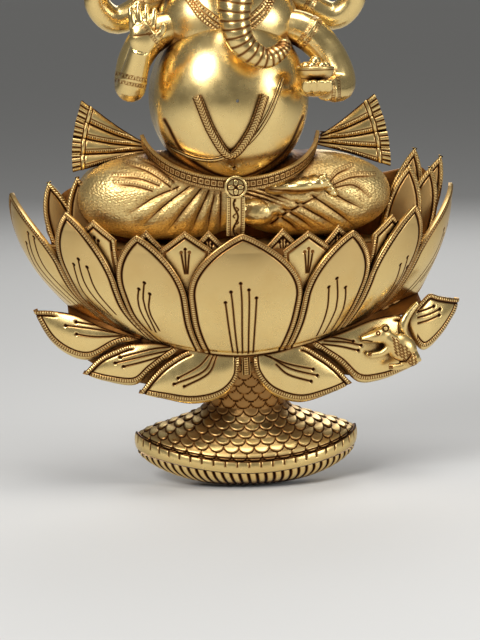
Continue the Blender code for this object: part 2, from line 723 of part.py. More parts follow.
def make_arms(clear):
    body = [clear["belly"], clear["chest"]]
    arm = shift([(-0.042, -0.050, 0.462), (-0.074, -0.056, 0.455), (-0.094, -0.062, 0.430),
                 (-0.100, -0.078, 0.404), (-0.091, -0.104, 0.442)])
    palm = (FIGURE_X - 0.089, -0.107, 0.452)
    parts = [
        tube_mesh(arm, [0.016, 0.018, 0.017, 0.016, 0.011]),
        blob_mesh(palm, (0.0135, 0.007, 0.016)),
        digit(palm, [(0.009, 0.0, -0.004), (0.018, -0.002, 0.006), (0.020, -0.003, 0.014)],
              [0.0042, 0.0038, 0.0032]),
    ]
    parts += finger_meshes((palm[0], palm[1] + 0.001, palm[2] + 0.008), 0.0063, 0.024, FINGER)
    modelled("blessing_arm", parts, FIGURE_VOXEL, 560, body)

    arm = shift([(0.042, -0.050, 0.462), (0.074, -0.056, 0.455), (0.098, -0.062, 0.430),
                 (0.106, -0.076, 0.402), (0.086, -0.100, 0.398)])
    palm = (FIGURE_X + 0.076, -0.112, 0.398)
    parts = [
        tube_mesh(arm, [0.016, 0.018, 0.017, 0.016, 0.011]),
        blob_mesh(palm, (0.016, 0.014, 0.006)),
        digit(palm, [(-0.008, -0.008, 0.0), (-0.012, -0.014, 0.004), (-0.012, -0.018, 0.010)],
              [0.0042, 0.004, 0.0034]),
        digit(palm, [(0.006, -0.008, 0.0), (0.007, -0.016, 0.005), (0.006, -0.018, 0.012)],
              [0.0042, 0.004, 0.0034]),
    ]
    modelled("bowl_arm", parts, FIGURE_VOXEL, 440, body)

    profile = [(0.0, 0.4065), (0.009, 0.407), (0.0165, 0.413), (0.0185, 0.421), (0.012, 0.428), (0.0, 0.432)]
    turned("sweets_bowl", profile, (palm[0], palm[1] - 0.001))

    for side, name in ((-1, "goad_arm"), (1, "noose_arm")):
        arm = shift([(side * 0.040, -0.020, 0.486), (side * 0.072, -0.0185, 0.484),
                     (side * 0.108, -0.021, 0.468), (side * 0.128, -0.028, 0.486),
                     (side * 0.122, -0.036, 0.512)])
        fist = Vector((FIGURE_X + side * 0.121, -0.038, 0.526))
        parts = [
            tube_mesh(arm, [0.012, 0.0145, 0.0145, 0.013, 0.0105]),
            blob_mesh(fist, (0.014, 0.011, 0.013)),
        ]
        grip = fist + Vector((-0.006, -0.001, 0.0))
        ends = [grip + Vector((0, 0, -0.040)), grip + Vector((0, 0, 0.005)), grip + Vector((0, 0, 0.050))]
        bore = tube_mesh(ends, [TOOL_SHAFT + 0.0006] * 3, 2, 12)
        bar = add_mesh(name + "_grip", bore, cutter=True)
        modelled(name, parts, FIGURE_VOXEL, 340, [*body, bar])


def turned(name, profile, centre, steps=14):
    """A turned piece from a profile of radius and height, listed from the bottom up."""
    mesh = bpy.data.meshes.new(name)
    points = profile[::-1]
    mesh.from_pydata([(r, 0, z) for r, z in points], [(i, i + 1) for i in range(len(points) - 1)], [])
    obj = add_mesh(name, mesh)
    obj.location = (centre[0], centre[1], 0)
    screw = obj.modifiers.new("turn", "SCREW")
    screw.steps = steps
    screw.render_steps = steps
    screw.use_merge_vertices = True
    screw.merge_threshold = MELD
    screw.use_smooth_shade = True
    return obj


def make_held_tools():
    for side, name in ((-1, "goad"), (1, "noose")):
        x = FIGURE_X + side * 0.121 - 0.006
        y = -0.039
        low = 0.492 if name == "goad" else 0.498
        shaft = tube_mesh([(x, y, low), (x, y, 0.525), (x, y, 0.566)], [TOOL_SHAFT] * 3, 4, 8)
        if name == "goad":
            spike = [(x, y, 0.560), (x - 0.001, y, 0.580), (x, y, 0.600)]
            hook = [(x, y, 0.566), (x - 0.015, y, 0.574), (x - 0.020, y, 0.562), (x - 0.014, y, 0.552)]
            head = [
                tube_mesh(spike, [0.006, 0.0055, 0.0015], 6, 8),
                tube_mesh(hook, [0.0045, 0.004, 0.0035, 0.0015], 8, 8),
            ]
        else:
            loop = [(x + 0.013 * math.sin(t), y, 0.579 - 0.017 * math.cos(t))
                    for t in (math.radians(d) for d in range(0, 361, 45))]
            head = [tube_mesh(loop, [0.0038] * len(loop), 24, 8)]
        modelled(name, [shaft, *head], 0.0013, 320)


def make_head(clear, head, trunk_clearance):
    # The trunk hangs over the chest and curls towards the bowl of sweets.
    route = shift([*TRUNK_TOP, (0.004, -0.133, 0.445), (0.024, -0.134, 0.430), (0.042, -0.130, 0.438),
                   (0.046, -0.126, 0.448)])
    parts = [tube_mesh(route, [0.021, 0.0185, 0.0155, 0.013, 0.0105, 0.0085, 0.0065], 18, 12)]
    trunk = modelled("trunk", parts, FIGURE_VOXEL, 460, [clear["belly"], clear["chest"]], helper=True)
    add_to(head, trunk)

    for side, name in ((-1, "left_ear"), (1, "right_ear")):
        outline = [(0.042, 0.546), (0.064, 0.561), (0.086, 0.554), (0.097, 0.530), (0.090, 0.504),
                   (0.074, 0.487), (0.057, 0.491), (0.044, 0.507), (0.040, 0.527)]
        points = [(FIGURE_X + side * x, z) for x, z in outline]
        ear = outline_plate(name, points, -0.060, -0.053, 18)
        cut(ear, clear["head"])
        cut(ear, clear["chest"])

    for side, name, length in ((-1, "whole_tusk", 0.026), (1, "broken_tusk", 0.013)):
        start = Vector((FIGURE_X + side * 0.026, -0.094, 0.508))
        way = Vector((side * 0.25, -0.75, -0.45)).normalized()
        mesh = tube_mesh([start, start + way * (0.006 + length / 2), start + way * (0.006 + length)],
                         [0.0052, 0.0045, 0.0022 if side < 0 else 0.0042], 5, 10)
        tusk = add_mesh(name, mesh)
        cut(tusk, clear["head"])
        cut(tusk, trunk_clearance)

    profile = [(0.0405, 0.5600), (0.0445, 0.5620), (0.0445, 0.569), (0.0405, 0.574), (0.0405, 0.584),
               (0.0335, 0.592), (0.0320, 0.606), (0.0240, 0.613), (0.0215, 0.626), (0.0130, 0.634),
               (0.0090, 0.644), (0.0075, 0.652), (0.0, 0.658)]
    crown = turned("crown", profile, (FIGURE_X, -0.052), 14)
    solidify(crown, THIN_WALL)
    cut(crown, clear["head"])


def make_trunk_clearance():
    """A slightly fatter copy of the trunk's upper half, which the tusks keep clear of."""
    return add_mesh("trunk_clearance", tube_mesh(shift(TRUNK_TOP), [0.0225, 0.020, 0.017], 8, 16),
                    cutter=True)


# ---------------------------------------------------------------- the hanging ring and its lug
LUG_X = FIGURE_X
LUG_Y = -0.0115                 # the ring's pivot is this far in front of the wall
LUG_Z = 0.430
RING_RADIUS = 0.015
RING_WIRE = 0.0021


def make_hanger():
    """A cross bar with a pierced lug, and the ring that hangs through the lug."""
    outline = [(LUG_Y - 0.010, LUG_Z - LUG_ROUND), (LUG_Y - 0.010, LUG_Z + LUG_ROUND)]
    steps = 8
    for k in range(steps + 1):
        turn = math.pi / 2 - math.pi * k / steps
        outline.append((LUG_Y + LUG_ROUND * math.cos(turn), LUG_Z + LUG_ROUND * math.sin(turn)))
    bm = bmesh.new()
    corners = [bm.verts.new((LUG_X - LUG_HALF, y, z)) for y, z in outline]
    face = bm.faces.new(corners)
    grown = bmesh.ops.extrude_face_region(bm, geom=[face])["geom"]
    for part in grown:
        if isinstance(part, bmesh.types.BMVert):
            part.co.x = LUG_X + LUG_HALF
    face_out(bm)
    lug = add_mesh("hanger_lug", mesh_of(bm, "hanger_lug"))
    hole = bmesh.new()
    bmesh.ops.create_cone(hole, cap_ends=True, segments=16, radius1=LUG_HOLE, radius2=LUG_HOLE, depth=0.02)
    for vertex in hole.verts:
        x, y, z = vertex.co
        vertex.co = (z + LUG_X, y + LUG_Y, x + LUG_Z)
    face_out(hole)
    add_to(lug, box("hanger_bar", (LUG_X - HANGER_HALF, LUG_Y - 0.0150, LUG_Z - LUG_ROUND),
                    (LUG_X + HANGER_HALF, LUG_Y - 0.0095, LUG_Z + LUG_ROUND), cutter=True))
    cut(lug, add_mesh("lug_hole", mesh_of(hole, "lug_hole"), cutter=True))

    bpy.ops.mesh.primitive_torus_add(major_segments=20, minor_segments=6, major_radius=RING_RADIUS,
                                     minor_radius=RING_WIRE, rotation=(math.pi / 2, 0, 0))
    ring = bpy.context.object
    for collection in list(ring.users_collection):
        collection.objects.unlink(ring)
    bpy.data.collections["ganesha_idol"].objects.link(ring)
    ring.name = "hanging_ring"
    ring.data.transform(ring.matrix_basis)
    ring.rotation_euler = (0, 0, 0)
    for vertex in ring.data.vertices:
        vertex.co.z -= RING_RADIUS
    ring.location = (LUG_X, LUG_Y, LUG_Z)
    ring.data.materials.append(brass("hanging_ring"))
    ring.data.shade_smooth()


def main():
    empty_scene()
    box("wall", (-0.4, 0.0, -0.2), (0.4, 0.2, 0.9), cutter=True)
    clear = {name: rounded_cutter(name) for name in ("belly", "chest", "head", "left_leg", "right_leg")}
    make_pedestal()
    make_lotus(clear)
    make_mouse()
    head = make_body(clear)
    make_dress(clear)
    make_arms(clear)
    make_held_tools()
    make_head(clear, head, make_trunk_clearance())
    make_hanger()


main()
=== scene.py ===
"""The looks of a cast brass wall relief: Ganesha seated on a lotus, hung by a ring.

Every casting gets a finely modelled skin in place of its plain CAD solid.  A skin is a grid of
points on the casting's face, or a melted mesh for the rounder parts.  Chased lines, beads,
milled rims and scales are strokes that move the skin's points and leave dark patina in the
hollows; other marks paint shade under overlaps, in gaps and under the belt, and a few dark fill
sheets stand where there is only shade.  The brass materials read that patina and painted shade,
and an ambient occlusion node adds painted shade in crevices.  Lengths are in metres, in the CAD's
own frame.
"""
import math

import bmesh
import bpy
import numpy as np
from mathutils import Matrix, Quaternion, Vector


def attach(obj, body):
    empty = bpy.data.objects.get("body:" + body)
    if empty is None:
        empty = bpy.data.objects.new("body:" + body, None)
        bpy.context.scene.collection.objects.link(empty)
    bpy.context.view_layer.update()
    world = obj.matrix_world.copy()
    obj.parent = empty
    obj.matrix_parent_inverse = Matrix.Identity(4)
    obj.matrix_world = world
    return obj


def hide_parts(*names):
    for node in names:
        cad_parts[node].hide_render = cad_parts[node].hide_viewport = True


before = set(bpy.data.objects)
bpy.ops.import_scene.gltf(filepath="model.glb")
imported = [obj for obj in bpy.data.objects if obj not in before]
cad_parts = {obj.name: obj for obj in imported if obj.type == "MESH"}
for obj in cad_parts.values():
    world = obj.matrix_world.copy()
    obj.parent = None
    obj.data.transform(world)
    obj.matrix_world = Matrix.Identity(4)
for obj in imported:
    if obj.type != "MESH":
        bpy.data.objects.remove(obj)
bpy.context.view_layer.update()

MM = 0.001

# ---------------------------------------------------------------- the CAD's driving dimensions
DOME_BACK = -0.003
PETAL_WALL = 0.005
BOWL_FOOT_HALF_WIDTH = 0.172
BOWL_HALF_WIDTH = 0.226
BOWL_FOOT_DEPTH = 0.078
BOWL_DEPTH = 0.118
BOWL_SEAM = 0.139
BOWL_SEAM_RISE = 0.0465
BOWL_SWELL_HEIGHT = 0.112
SEAT_TOP = 0.247
PEDESTAL_X = 0.010              # the cast foot sits 4 mm further right than its CAD solid
PEDESTAL_HALF_WIDTH = 0.112
PEDESTAL_DEPTH = 0.074
NECK_HALF_WIDTH = 0.043
NECK_DEPTH = 0.045
NECK_HEIGHT = 0.078
BAND_TOP = 0.026
BAND_RISE = 0.0195
FIGURE_X = -0.006
LINER_INSET = PETAL_WALL + 0.0022
WIDEST = 0.46                   # share of a cup petal's height where it starts to close to its tip
TIP_LENGTH = 0.0185             # height over which a standing petal closes to its tip
DRAWN_IN = 0.30                 # share of its height over which it widens from the seam
FULLER_RIGHT = 0.019            # how much fuller the hand-made cup is at its right end
STANDING_FOOT = 0.190           # where the petals inside the cup start
LINER_TOP = 0.2455
PETAL_FRONT = 0.072             # how far forward the drooping petals stand in the middle
PETAL_SWEEP = 0.240             # half-width of the curve that they follow, seen from above
BELT_HALF_WIDTH = 0.086
BELT_LOW = 0.310                # height of the belt at its medallion
BELT_RISE = 0.046
BEAD_PITCH = 2.4 * MM

# Edge angles of the cup's petals, from the front, with the angle and height of each tip.
CUP_PETALS = {
    "cup_petal_centre": (-15.2, 15.2, -1.0, 0.262),
    "cup_petal_left_1": (-35.7, -15.8, -28.0, 0.262),
    "cup_petal_right_1": (15.8, 35.7, 28.5, 0.261),
    "cup_petal_left_2": (-56.2, -36.3, -50.0, 0.284),
    "cup_petal_right_2": (36.3, 56.2, 51.0, 0.281),
    "cup_petal_left_3": (-89.6, -56.8, -84.0, 0.299),
    "cup_petal_right_3": (56.8, 89.6, 85.0, 0.297),
}
# Edge angles of the same petals at the seam, where they draw in.
CUP_FEET = {
    "cup_petal_centre": (-13.2, 14.0),
    "cup_petal_left_1": (-29.5, -13.7),
    "cup_petal_right_1": (14.5, 34.5),
    "cup_petal_left_2": (-46.0, -30.0),
    "cup_petal_right_2": (35.0, 54.5),
    "cup_petal_left_3": (-80.0, -46.5),
    "cup_petal_right_3": (55.0, 82.0),
}
# Stamens of the cup's petals, each from its round head down, as angle and height.
CUP_STAMENS = {
    "cup_petal_centre": [
        [(-5.5, 0.195), (-3.5, 0.141)],
        [(-4.0, 0.2055), (-2.0, 0.140)],
        [(-1.5, 0.214), (-0.5, 0.140)],
        [(0.5, 0.207), (1.5, 0.139)],
        [(2.5, 0.199), (3.0, 0.140)],
    ],
    "cup_petal_left_1": [
        [(-29.0, 0.2095), (-30.5, 0.1915), (-29.5, 0.166)],
        [(-27.0, 0.216), (-28.5, 0.195), (-28.0, 0.164)],
        [(-26.0, 0.2045), (-27.5, 0.1865), (-26.5, 0.166)],
    ],
    "cup_petal_right_1": [
        [(22.5, 0.206), (24.0, 0.181), (24.5, 0.1545)],
        [(24.5, 0.2145), (27.0, 0.183), (27.0, 0.1565)],
        [(28.0, 0.205), (30.0, 0.182), (30.0, 0.159)],
    ],
    "cup_petal_left_2": [
        [(-49.5, 0.233), (-50.5, 0.2055), (-46.5, 0.1795)],
        [(-47.0, 0.2385), (-47.5, 0.2105), (-43.5, 0.1805)],
        [(-44.5, 0.2305), (-44.0, 0.205), (-41.0, 0.182)],
    ],
    "cup_petal_right_2": [
        [(48.0, 0.223), (49.5, 0.1985), (46.5, 0.172)],
        [(50.5, 0.230), (52.0, 0.201), (48.5, 0.173)],
        [(53.0, 0.219), (53.5, 0.200), (51.0, 0.180)],
    ],
    "cup_petal_left_3": [
        [(-69.5, 0.2615), (-71.0, 0.227), (-62.0, 0.186)],
        [(-66.5, 0.2575), (-66.5, 0.2255), (-58.0, 0.186)],
        [(-73.0, 0.2515), (-75.0, 0.2225), (-67.0, 0.190)],
    ],
    "cup_petal_right_3": [
        [(76.0, 0.2475), (76.5, 0.2265), (70.0, 0.190)],
        [(79.0, 0.256), (80.0, 0.235), (74.0, 0.200)],
        [(73.5, 0.253), (73.0, 0.228), (66.0, 0.187)],
    ],
}
# Middle angle and tip height of the petals that stand behind them.
INNER_PETALS = {
    "inner_petal_left_2": (-42.0, 0.276),
    "inner_petal_left_1": (-15.6, 0.265),
    "inner_petal_right_1": (16.6, 0.262),
    "inner_petal_right_2": (43.5, 0.273),
}
SMALL_PETALS = {
    "small_petal_left_2": (-26.5, 0.266),
    "small_petal_left_1": (-9.5, 0.265),
    "small_petal_right_1": (10.0, 0.265),
    "small_petal_right_2": (26.0, 0.266),
}
# Root, upper edge, lower edge, tip and stamens of the drooping petals (x, z), and rim_from, the
# share of the upper edge where its milled rim comes out from under the neighbour.
DROOPING_PETALS = {
    "lower_petal_left_outer": {
        "rim_from": 0.80,
        "root": (-0.100, 0.1550),
        "upper": [(-0.135, 0.1668), (-0.163, 0.1795), (-0.187, 0.1835)],
        "lower": [(-0.113, 0.1525), (-0.128, 0.1465), (-0.150, 0.1345), (-0.170, 0.138), (-0.190, 0.154)],
        "tip": (-0.2056, 0.1835),
        "stamens": [
            [(-0.1745, 0.1695), (-0.1455, 0.166), (-0.120, 0.161)],
            [(-0.164, 0.173), (-0.1455, 0.170), (-0.129, 0.168)],
            [(-0.164, 0.161), (-0.146, 0.1585), (-0.1195, 0.159)],
        ],
    },
    "lower_petal_left_middle": {
        "rim_from": 0.45,
        "root": (-0.062, 0.1455),
        "upper": [(-0.085, 0.1512), (-0.110, 0.1505), (-0.126, 0.1452), (-0.143, 0.1365)],
        "lower": [(-0.0765, 0.1340), (-0.092, 0.1210), (-0.108, 0.1085), (-0.1347, 0.1122)],
        "tip": (-0.1587, 0.1208),
        "stamens": [
            [(-0.122, 0.1375), (-0.0925, 0.145), (-0.0725, 0.147)],
            [(-0.127, 0.132), (-0.0925, 0.140), (-0.0665, 0.1445)],
            [(-0.119, 0.1285), (-0.0905, 0.1355), (-0.069, 0.1425)],
        ],
    },
    "lower_petal_left_inner": {
        "rim_from": 0.42,
        "root": (-0.004, 0.1375),
        "upper": [(-0.030, 0.1398), (-0.0515, 0.1438), (-0.0744, 0.1325), (-0.0905, 0.1185)],
        "lower": [(-0.006, 0.1125), (-0.022, 0.0945), (-0.050, 0.0885), (-0.080, 0.0942)],
        "tip": (-0.1042, 0.1010),
        "stamens": [
            [(-0.0655, 0.116), (-0.0445, 0.1275), (-0.0335, 0.139)],
            [(-0.0695, 0.110), (-0.0405, 0.122), (-0.0295, 0.138)],
            [(-0.0595, 0.1075), (-0.0355, 0.120), (-0.0265, 0.137)],
        ],
    },
    "lower_petal_right_inner": {
        "rim_from": 0.42,
        "root": (0.010, 0.1370),
        "upper": [(0.035, 0.1395), (0.0585, 0.1445), (0.0765, 0.1350), (0.094, 0.1215)],
        "lower": [(0.013, 0.1155), (0.028, 0.0960), (0.056, 0.0860), (0.086, 0.0925)],
        "tip": (0.1105, 0.1032),
        "stamens": [
            [(0.070, 0.120), (0.0435, 0.127), (0.0215, 0.136)],
            [(0.074, 0.1135), (0.0465, 0.122), (0.0265, 0.1345)],
            [(0.0675, 0.108), (0.0445, 0.116), (0.0325, 0.1265)],
        ],
    },
    "lower_petal_right_middle": {
        "rim_from": 0.60,
        "root": (0.068, 0.1465),
        "upper": [(0.100, 0.1555), (0.135, 0.1672), (0.1635, 0.1675), (0.167, 0.1500), (0.175, 0.1340)],
        "lower": [(0.081, 0.1350), (0.098, 0.1215), (0.117, 0.1035), (0.140, 0.1035), (0.165, 0.1110)],
        "tip": (0.1844, 0.1213),
        "stamens": [
            [(0.1115, 0.146), (0.098, 0.1495), (0.086, 0.1515)],
            [(0.1195, 0.1415), (0.103, 0.1455), (0.082, 0.1475)],
            [(0.1165, 0.1365), (0.098, 0.1415), (0.080, 0.1445)],
        ],
    },
    "lower_petal_right_outer": {
        "rim_from": 0.00,
        "root": (0.1795, 0.1775),
        "upper": [(0.193, 0.1880), (0.2055, 0.1850), (0.2180, 0.1820)],
        "lower": [(0.170, 0.1600), (0.175, 0.1430), (0.188, 0.1305), (0.207, 0.1435), (0.2230, 0.1640)],
        "tip": (0.2292, 0.1796),
        "stamens": [
            [(0.1985, 0.1755), (0.188, 0.1725), (0.178, 0.1705)],
            [(0.205, 0.172), (0.1935, 0.168), (0.178, 0.165)],
            [(0.204, 0.166), (0.192, 0.162), (0.180, 0.1595)],
        ],
    },
}
# Middle, width, height and lean of the upright petals against the wall, and their depth.
BACK_PETALS = {
    "back_petal_left_1": (-0.158, 0.036, 0.3150, -8, 0.030),
    "back_petal_left_2": (-0.186, 0.034, 0.3100, -16, 0.020),
    "back_petal_right_1": (0.176, 0.040, 0.3190, 8, 0.034),
    "back_petal_right_2": (0.200, 0.036, 0.3150, 14, 0.022),
    "back_petal_right_3": (0.186, 0.040, 0.3340, 12, 0.011),
    "back_petal_right_4": (0.214, 0.036, 0.3250, 22, 0.0055),
}
# Centre and half-axes of the rounded castings of the figure.
ROUNDED = {
    "belly": ((0.0, -0.055, 0.390), (0.077, 0.060, 0.084)),
    "chest": ((0.0, -0.044, 0.462), (0.070, 0.044, 0.056)),
    "head": ((0.0, -0.055, 0.530), (0.047, 0.052, 0.049)),
    "left_leg": ((-0.064, -0.042, 0.2935), (0.088, 0.047, 0.0435)),
    "right_leg": ((0.078, -0.042, 0.2925), (0.082, 0.047, 0.0420)),
    "crossed_foot": ((0.063, -0.080, 0.3045), (0.034, 0.017, 0.0085)),
    "tucked_heel": ((0.024, -0.078, 0.279), (0.022, 0.014, 0.0150)),
}
LUG = (FIGURE_X, -0.0115, 0.430)
RING_RADIUS = 0.015
RING_WIRE = 0.0021


# ---------------------------------------------------------------- brass
class Nodes:
    """Short calls for building one material's node tree."""

    def __init__(self, name):
        self.material = bpy.data.materials.new(name)
        self.material.use_nodes = True
        self.tree = self.material.node_tree
        self.shader = self.tree.nodes["Principled BSDF"]
        self.place = self.new("ShaderNodeTexCoord").outputs["Object"]

    def new(self, kind, **settings):
        node = self.tree.nodes.new(kind)
        for key, value in settings.items():
            setattr(node, key, value)
        return node

    def join(self, source, socket):
        self.tree.links.new(source, socket)

    def noise(self, scale, detail=3.0, roughness=0.55):
        node = self.new("ShaderNodeTexNoise")
        node.inputs["Scale"].default_value = scale
        node.inputs["Detail"].default_value = detail
        node.inputs["Roughness"].default_value = roughness
        self.join(self.place, node.inputs["Vector"])
        return node.outputs["Fac"]

    def pits(self, scale):
        node = self.new("ShaderNodeTexVoronoi")
        node.inputs["Scale"].default_value = scale
        self.join(self.place, node.inputs["Vector"])
        return node.outputs["Distance"]

    def span(self, value, low, high, to_low=0.0, to_high=1.0):
        node = self.new("ShaderNodeMapRange")
        for key, number in (("From Min", low), ("From Max", high), ("To Min", to_low), ("To Max", to_high)):
            node.inputs[key].default_value = number
        self.join(value, node.inputs["Value"])
        return node.outputs["Result"]

    def math(self, operation, a, b, clamp=False):
        node = self.new("ShaderNodeMath", operation=operation, use_clamp=clamp)
        for socket, value in zip(node.inputs, (a, b)):
            if isinstance(value, (int, float)):
                socket.default_value = value
            else:
                self.join(value, socket)
        return node.outputs["Value"]

    def blend(self, share, first, second):
        node = self.new("ShaderNodeMix", data_type="RGBA")
        self.join(share, node.inputs["Factor"])
        for key, value in (("A", first), ("B", second)):
            socket = [s for s in node.inputs if s.name == key and s.type == "RGBA"][0]
            if isinstance(value, tuple):
                socket.default_value = (*value, 1.0)
            else:
                self.join(value, socket)
        return [s for s in node.outputs if s.type == "RGBA"][0]


PALE_BRASS = (0.87, 0.65, 0.275)
WARM_BRASS = (0.72, 0.44, 0.130)
# The two darker colours paint both the real patina in chased hollows and the painted shade that the strokes
# and the ambient occlusion leave.
BROWN_STAIN_AND_SHADE = (0.32, 0.135, 0.034)
DARK_PATINA_AND_SHADE = (0.020, 0.007, 0.003)
BACK_PATINA = 0.35              # how dark the castings' backs are left


def brass(name, polish=0.27, grain=0.12, stipple=0.0, tarnish=0.30, cavity_patina_and_shade=0.8, dull=0.0):
    """Brass with dark patina and painted shade in its hollows and between parts, from the painted marks and
    an ambient occlusion node, a slow change of tone and a fine chased grain.
    """
    n = Nodes(name)
    # This attribute holds the real patina of the chased hollows together with the painted shade marks.
    patina_and_shade_marks = n.new("ShaderNodeAttribute", attribute_type="GEOMETRY", attribute_name="patina_and_shade").outputs["Fac"]
    # Painted shade: the ambient occlusion darkens crevices and the gaps between parts, where shade falls,
    # on top of the real patina there.
    hollow = n.new("ShaderNodeAmbientOcclusion", samples=6)
    hollow.inputs["Distance"].default_value = 0.009
    shaded = n.span(hollow.outputs["AO"], 0.35, 0.88, cavity_patina_and_shade, 0.0)
    clouds = n.span(n.noise(34.0, 4.0), 0.45, 0.75, 0.0, tarnish)
    uneven = n.span(n.noise(260.0, 2.0), 0.2, 0.6, 0.75, 1.0)
    dark = n.math("MAXIMUM", patina_and_shade_marks, n.math("MULTIPLY", shaded, uneven))
    tone = n.blend(n.math("ADD", clouds, dull, True), PALE_BRASS, WARM_BRASS)
    bump_height = n.math("MULTIPLY", n.noise(900.0, 2.0), grain)
    if stipple:
        punched = n.span(n.pits(950.0), 0.10, 0.45, 0.75, 0.0)
        mottled = n.span(n.noise(420.0, 3.0, 0.7), 0.50, 0.70, 0.0, 1.0)
        patch = n.span(n.noise(90.0, 2.0), 0.35, 0.65, 0.25, 1.0)
        pitted = n.math("MULTIPLY", n.math("MAXIMUM", punched, mottled), patch)
        dark = n.math("MAXIMUM", dark, n.math("MULTIPLY", pitted, stipple))
        bump_height = n.math("SUBTRACT", bump_height, n.math("MULTIPLY", pitted, 0.9))
    stained = n.blend(n.span(dark, 0.04, 0.50), tone, BROWN_STAIN_AND_SHADE)
    n.join(n.blend(n.span(dark, 0.38, 0.85), stained, DARK_PATINA_AND_SHADE), n.shader.inputs["Base Color"])
    n.shader.inputs["Metallic"].default_value = 1.0
    smear = n.span(n.noise(70.0, 3.0), 0.3, 0.7, polish - 0.04, polish + 0.06)
    n.join(n.math("ADD", smear, n.math("MULTIPLY", dark, 0.30), True), n.shader.inputs["Roughness"])
    bump = n.new("ShaderNodeBump")
    bump.inputs["Strength"].default_value = 0.5
    bump.inputs["Distance"].default_value = 0.00035
    n.join(bump_height, bump.inputs["Height"])
    n.join(bump.outputs["Normal"], n.shader.inputs["Normal"])
    return n.material


POLISHED = brass("polished_brass_skin", polish=0.25, grain=0.05, tarnish=0.25, cavity_patina_and_shade=0.75)
CLOTH = brass("stippled_brass_skin", polish=0.38, grain=0.3, stipple=0.60, tarnish=0.35, cavity_patina_and_shade=0.95)
CHASED = brass("chased_brass_skin", polish=0.30, grain=0.25, tarnish=0.35, cavity_patina_and_shade=0.95, dull=0.08)
# A darker, duller brass for the parts set back in shade: partly aged finish, partly painted shade.
AGED_AND_SHADED = brass("aged_and_shaded_brass_skin", polish=0.42, grain=0.8, stipple=0.3, tarnish=0.6, cavity_patina_and_shade=0.7, dull=0.45)


# ---------------------------------------------------------------- curves and strokes
def spline(points, count):
    """Points evenly spaced in parameter on a Catmull-Rom curve through the given points."""
    knots = np.array(points, float)
    knots = np.vstack([2 * knots[0] - knots[1], knots, 2 * knots[-1] - knots[-2]])
    place = np.linspace(0, len(knots) - 3 - 1e-9, count + 1)
    first = place.astype(int)
    t = (place - first)[:, None]
    a, b, c, d = (knots[first + k] for k in range(4))
    return 0.5 * (2 * b + (c - a) * t + (2 * a - 5 * b + 4 * c - d) * t ** 2
                  + (3 * b - a - 3 * c + d) * t ** 3)


def distance_to(places, line):
    """How far each place is from a line of points, and how far along the line it is nearest."""
    best = np.full(len(places), 1e9)
    along = np.zeros(len(places))
    walked = 0.0
    for a, b in zip(line[:-1], line[1:]):
        way = b - a
        length = math.sqrt(way @ way)
        share = np.clip(((places - a) @ way) / max(length ** 2, 1e-14), 0, 1)
        gap = np.linalg.norm(places - a - share[:, None] * way, axis=1)
        nearer = gap < best
        best[nearer] = gap[nearer]
        along[nearer] = walked + share[nearer] * length
        walked += length
    return best, along


def bell(gap, half):
    return np.exp(-(gap / half) ** 2)


def step(value, low, high):
    share = np.clip((value - low) / (high - low), 0, 1)
    return share * share * (3 - 2 * share)


def ripple(along, pitch):
    """A wave between 1 and 0 that repeats at every pitch."""
    return 0.5 + 0.5 * np.cos(2 * math.pi * along / pitch)


def walked(line):
    """The length along a line of points, at each of them."""
    return np.concatenate([[0], np.cumsum(np.linalg.norm(np.diff(line, axis=0), axis=1))])


def circle(x, z, radius, count=13):
    turns = np.linspace(0, 2 * math.pi, count)
    return np.stack([x + radius * np.cos(turns), z + radius * np.sin(turns)], -1)


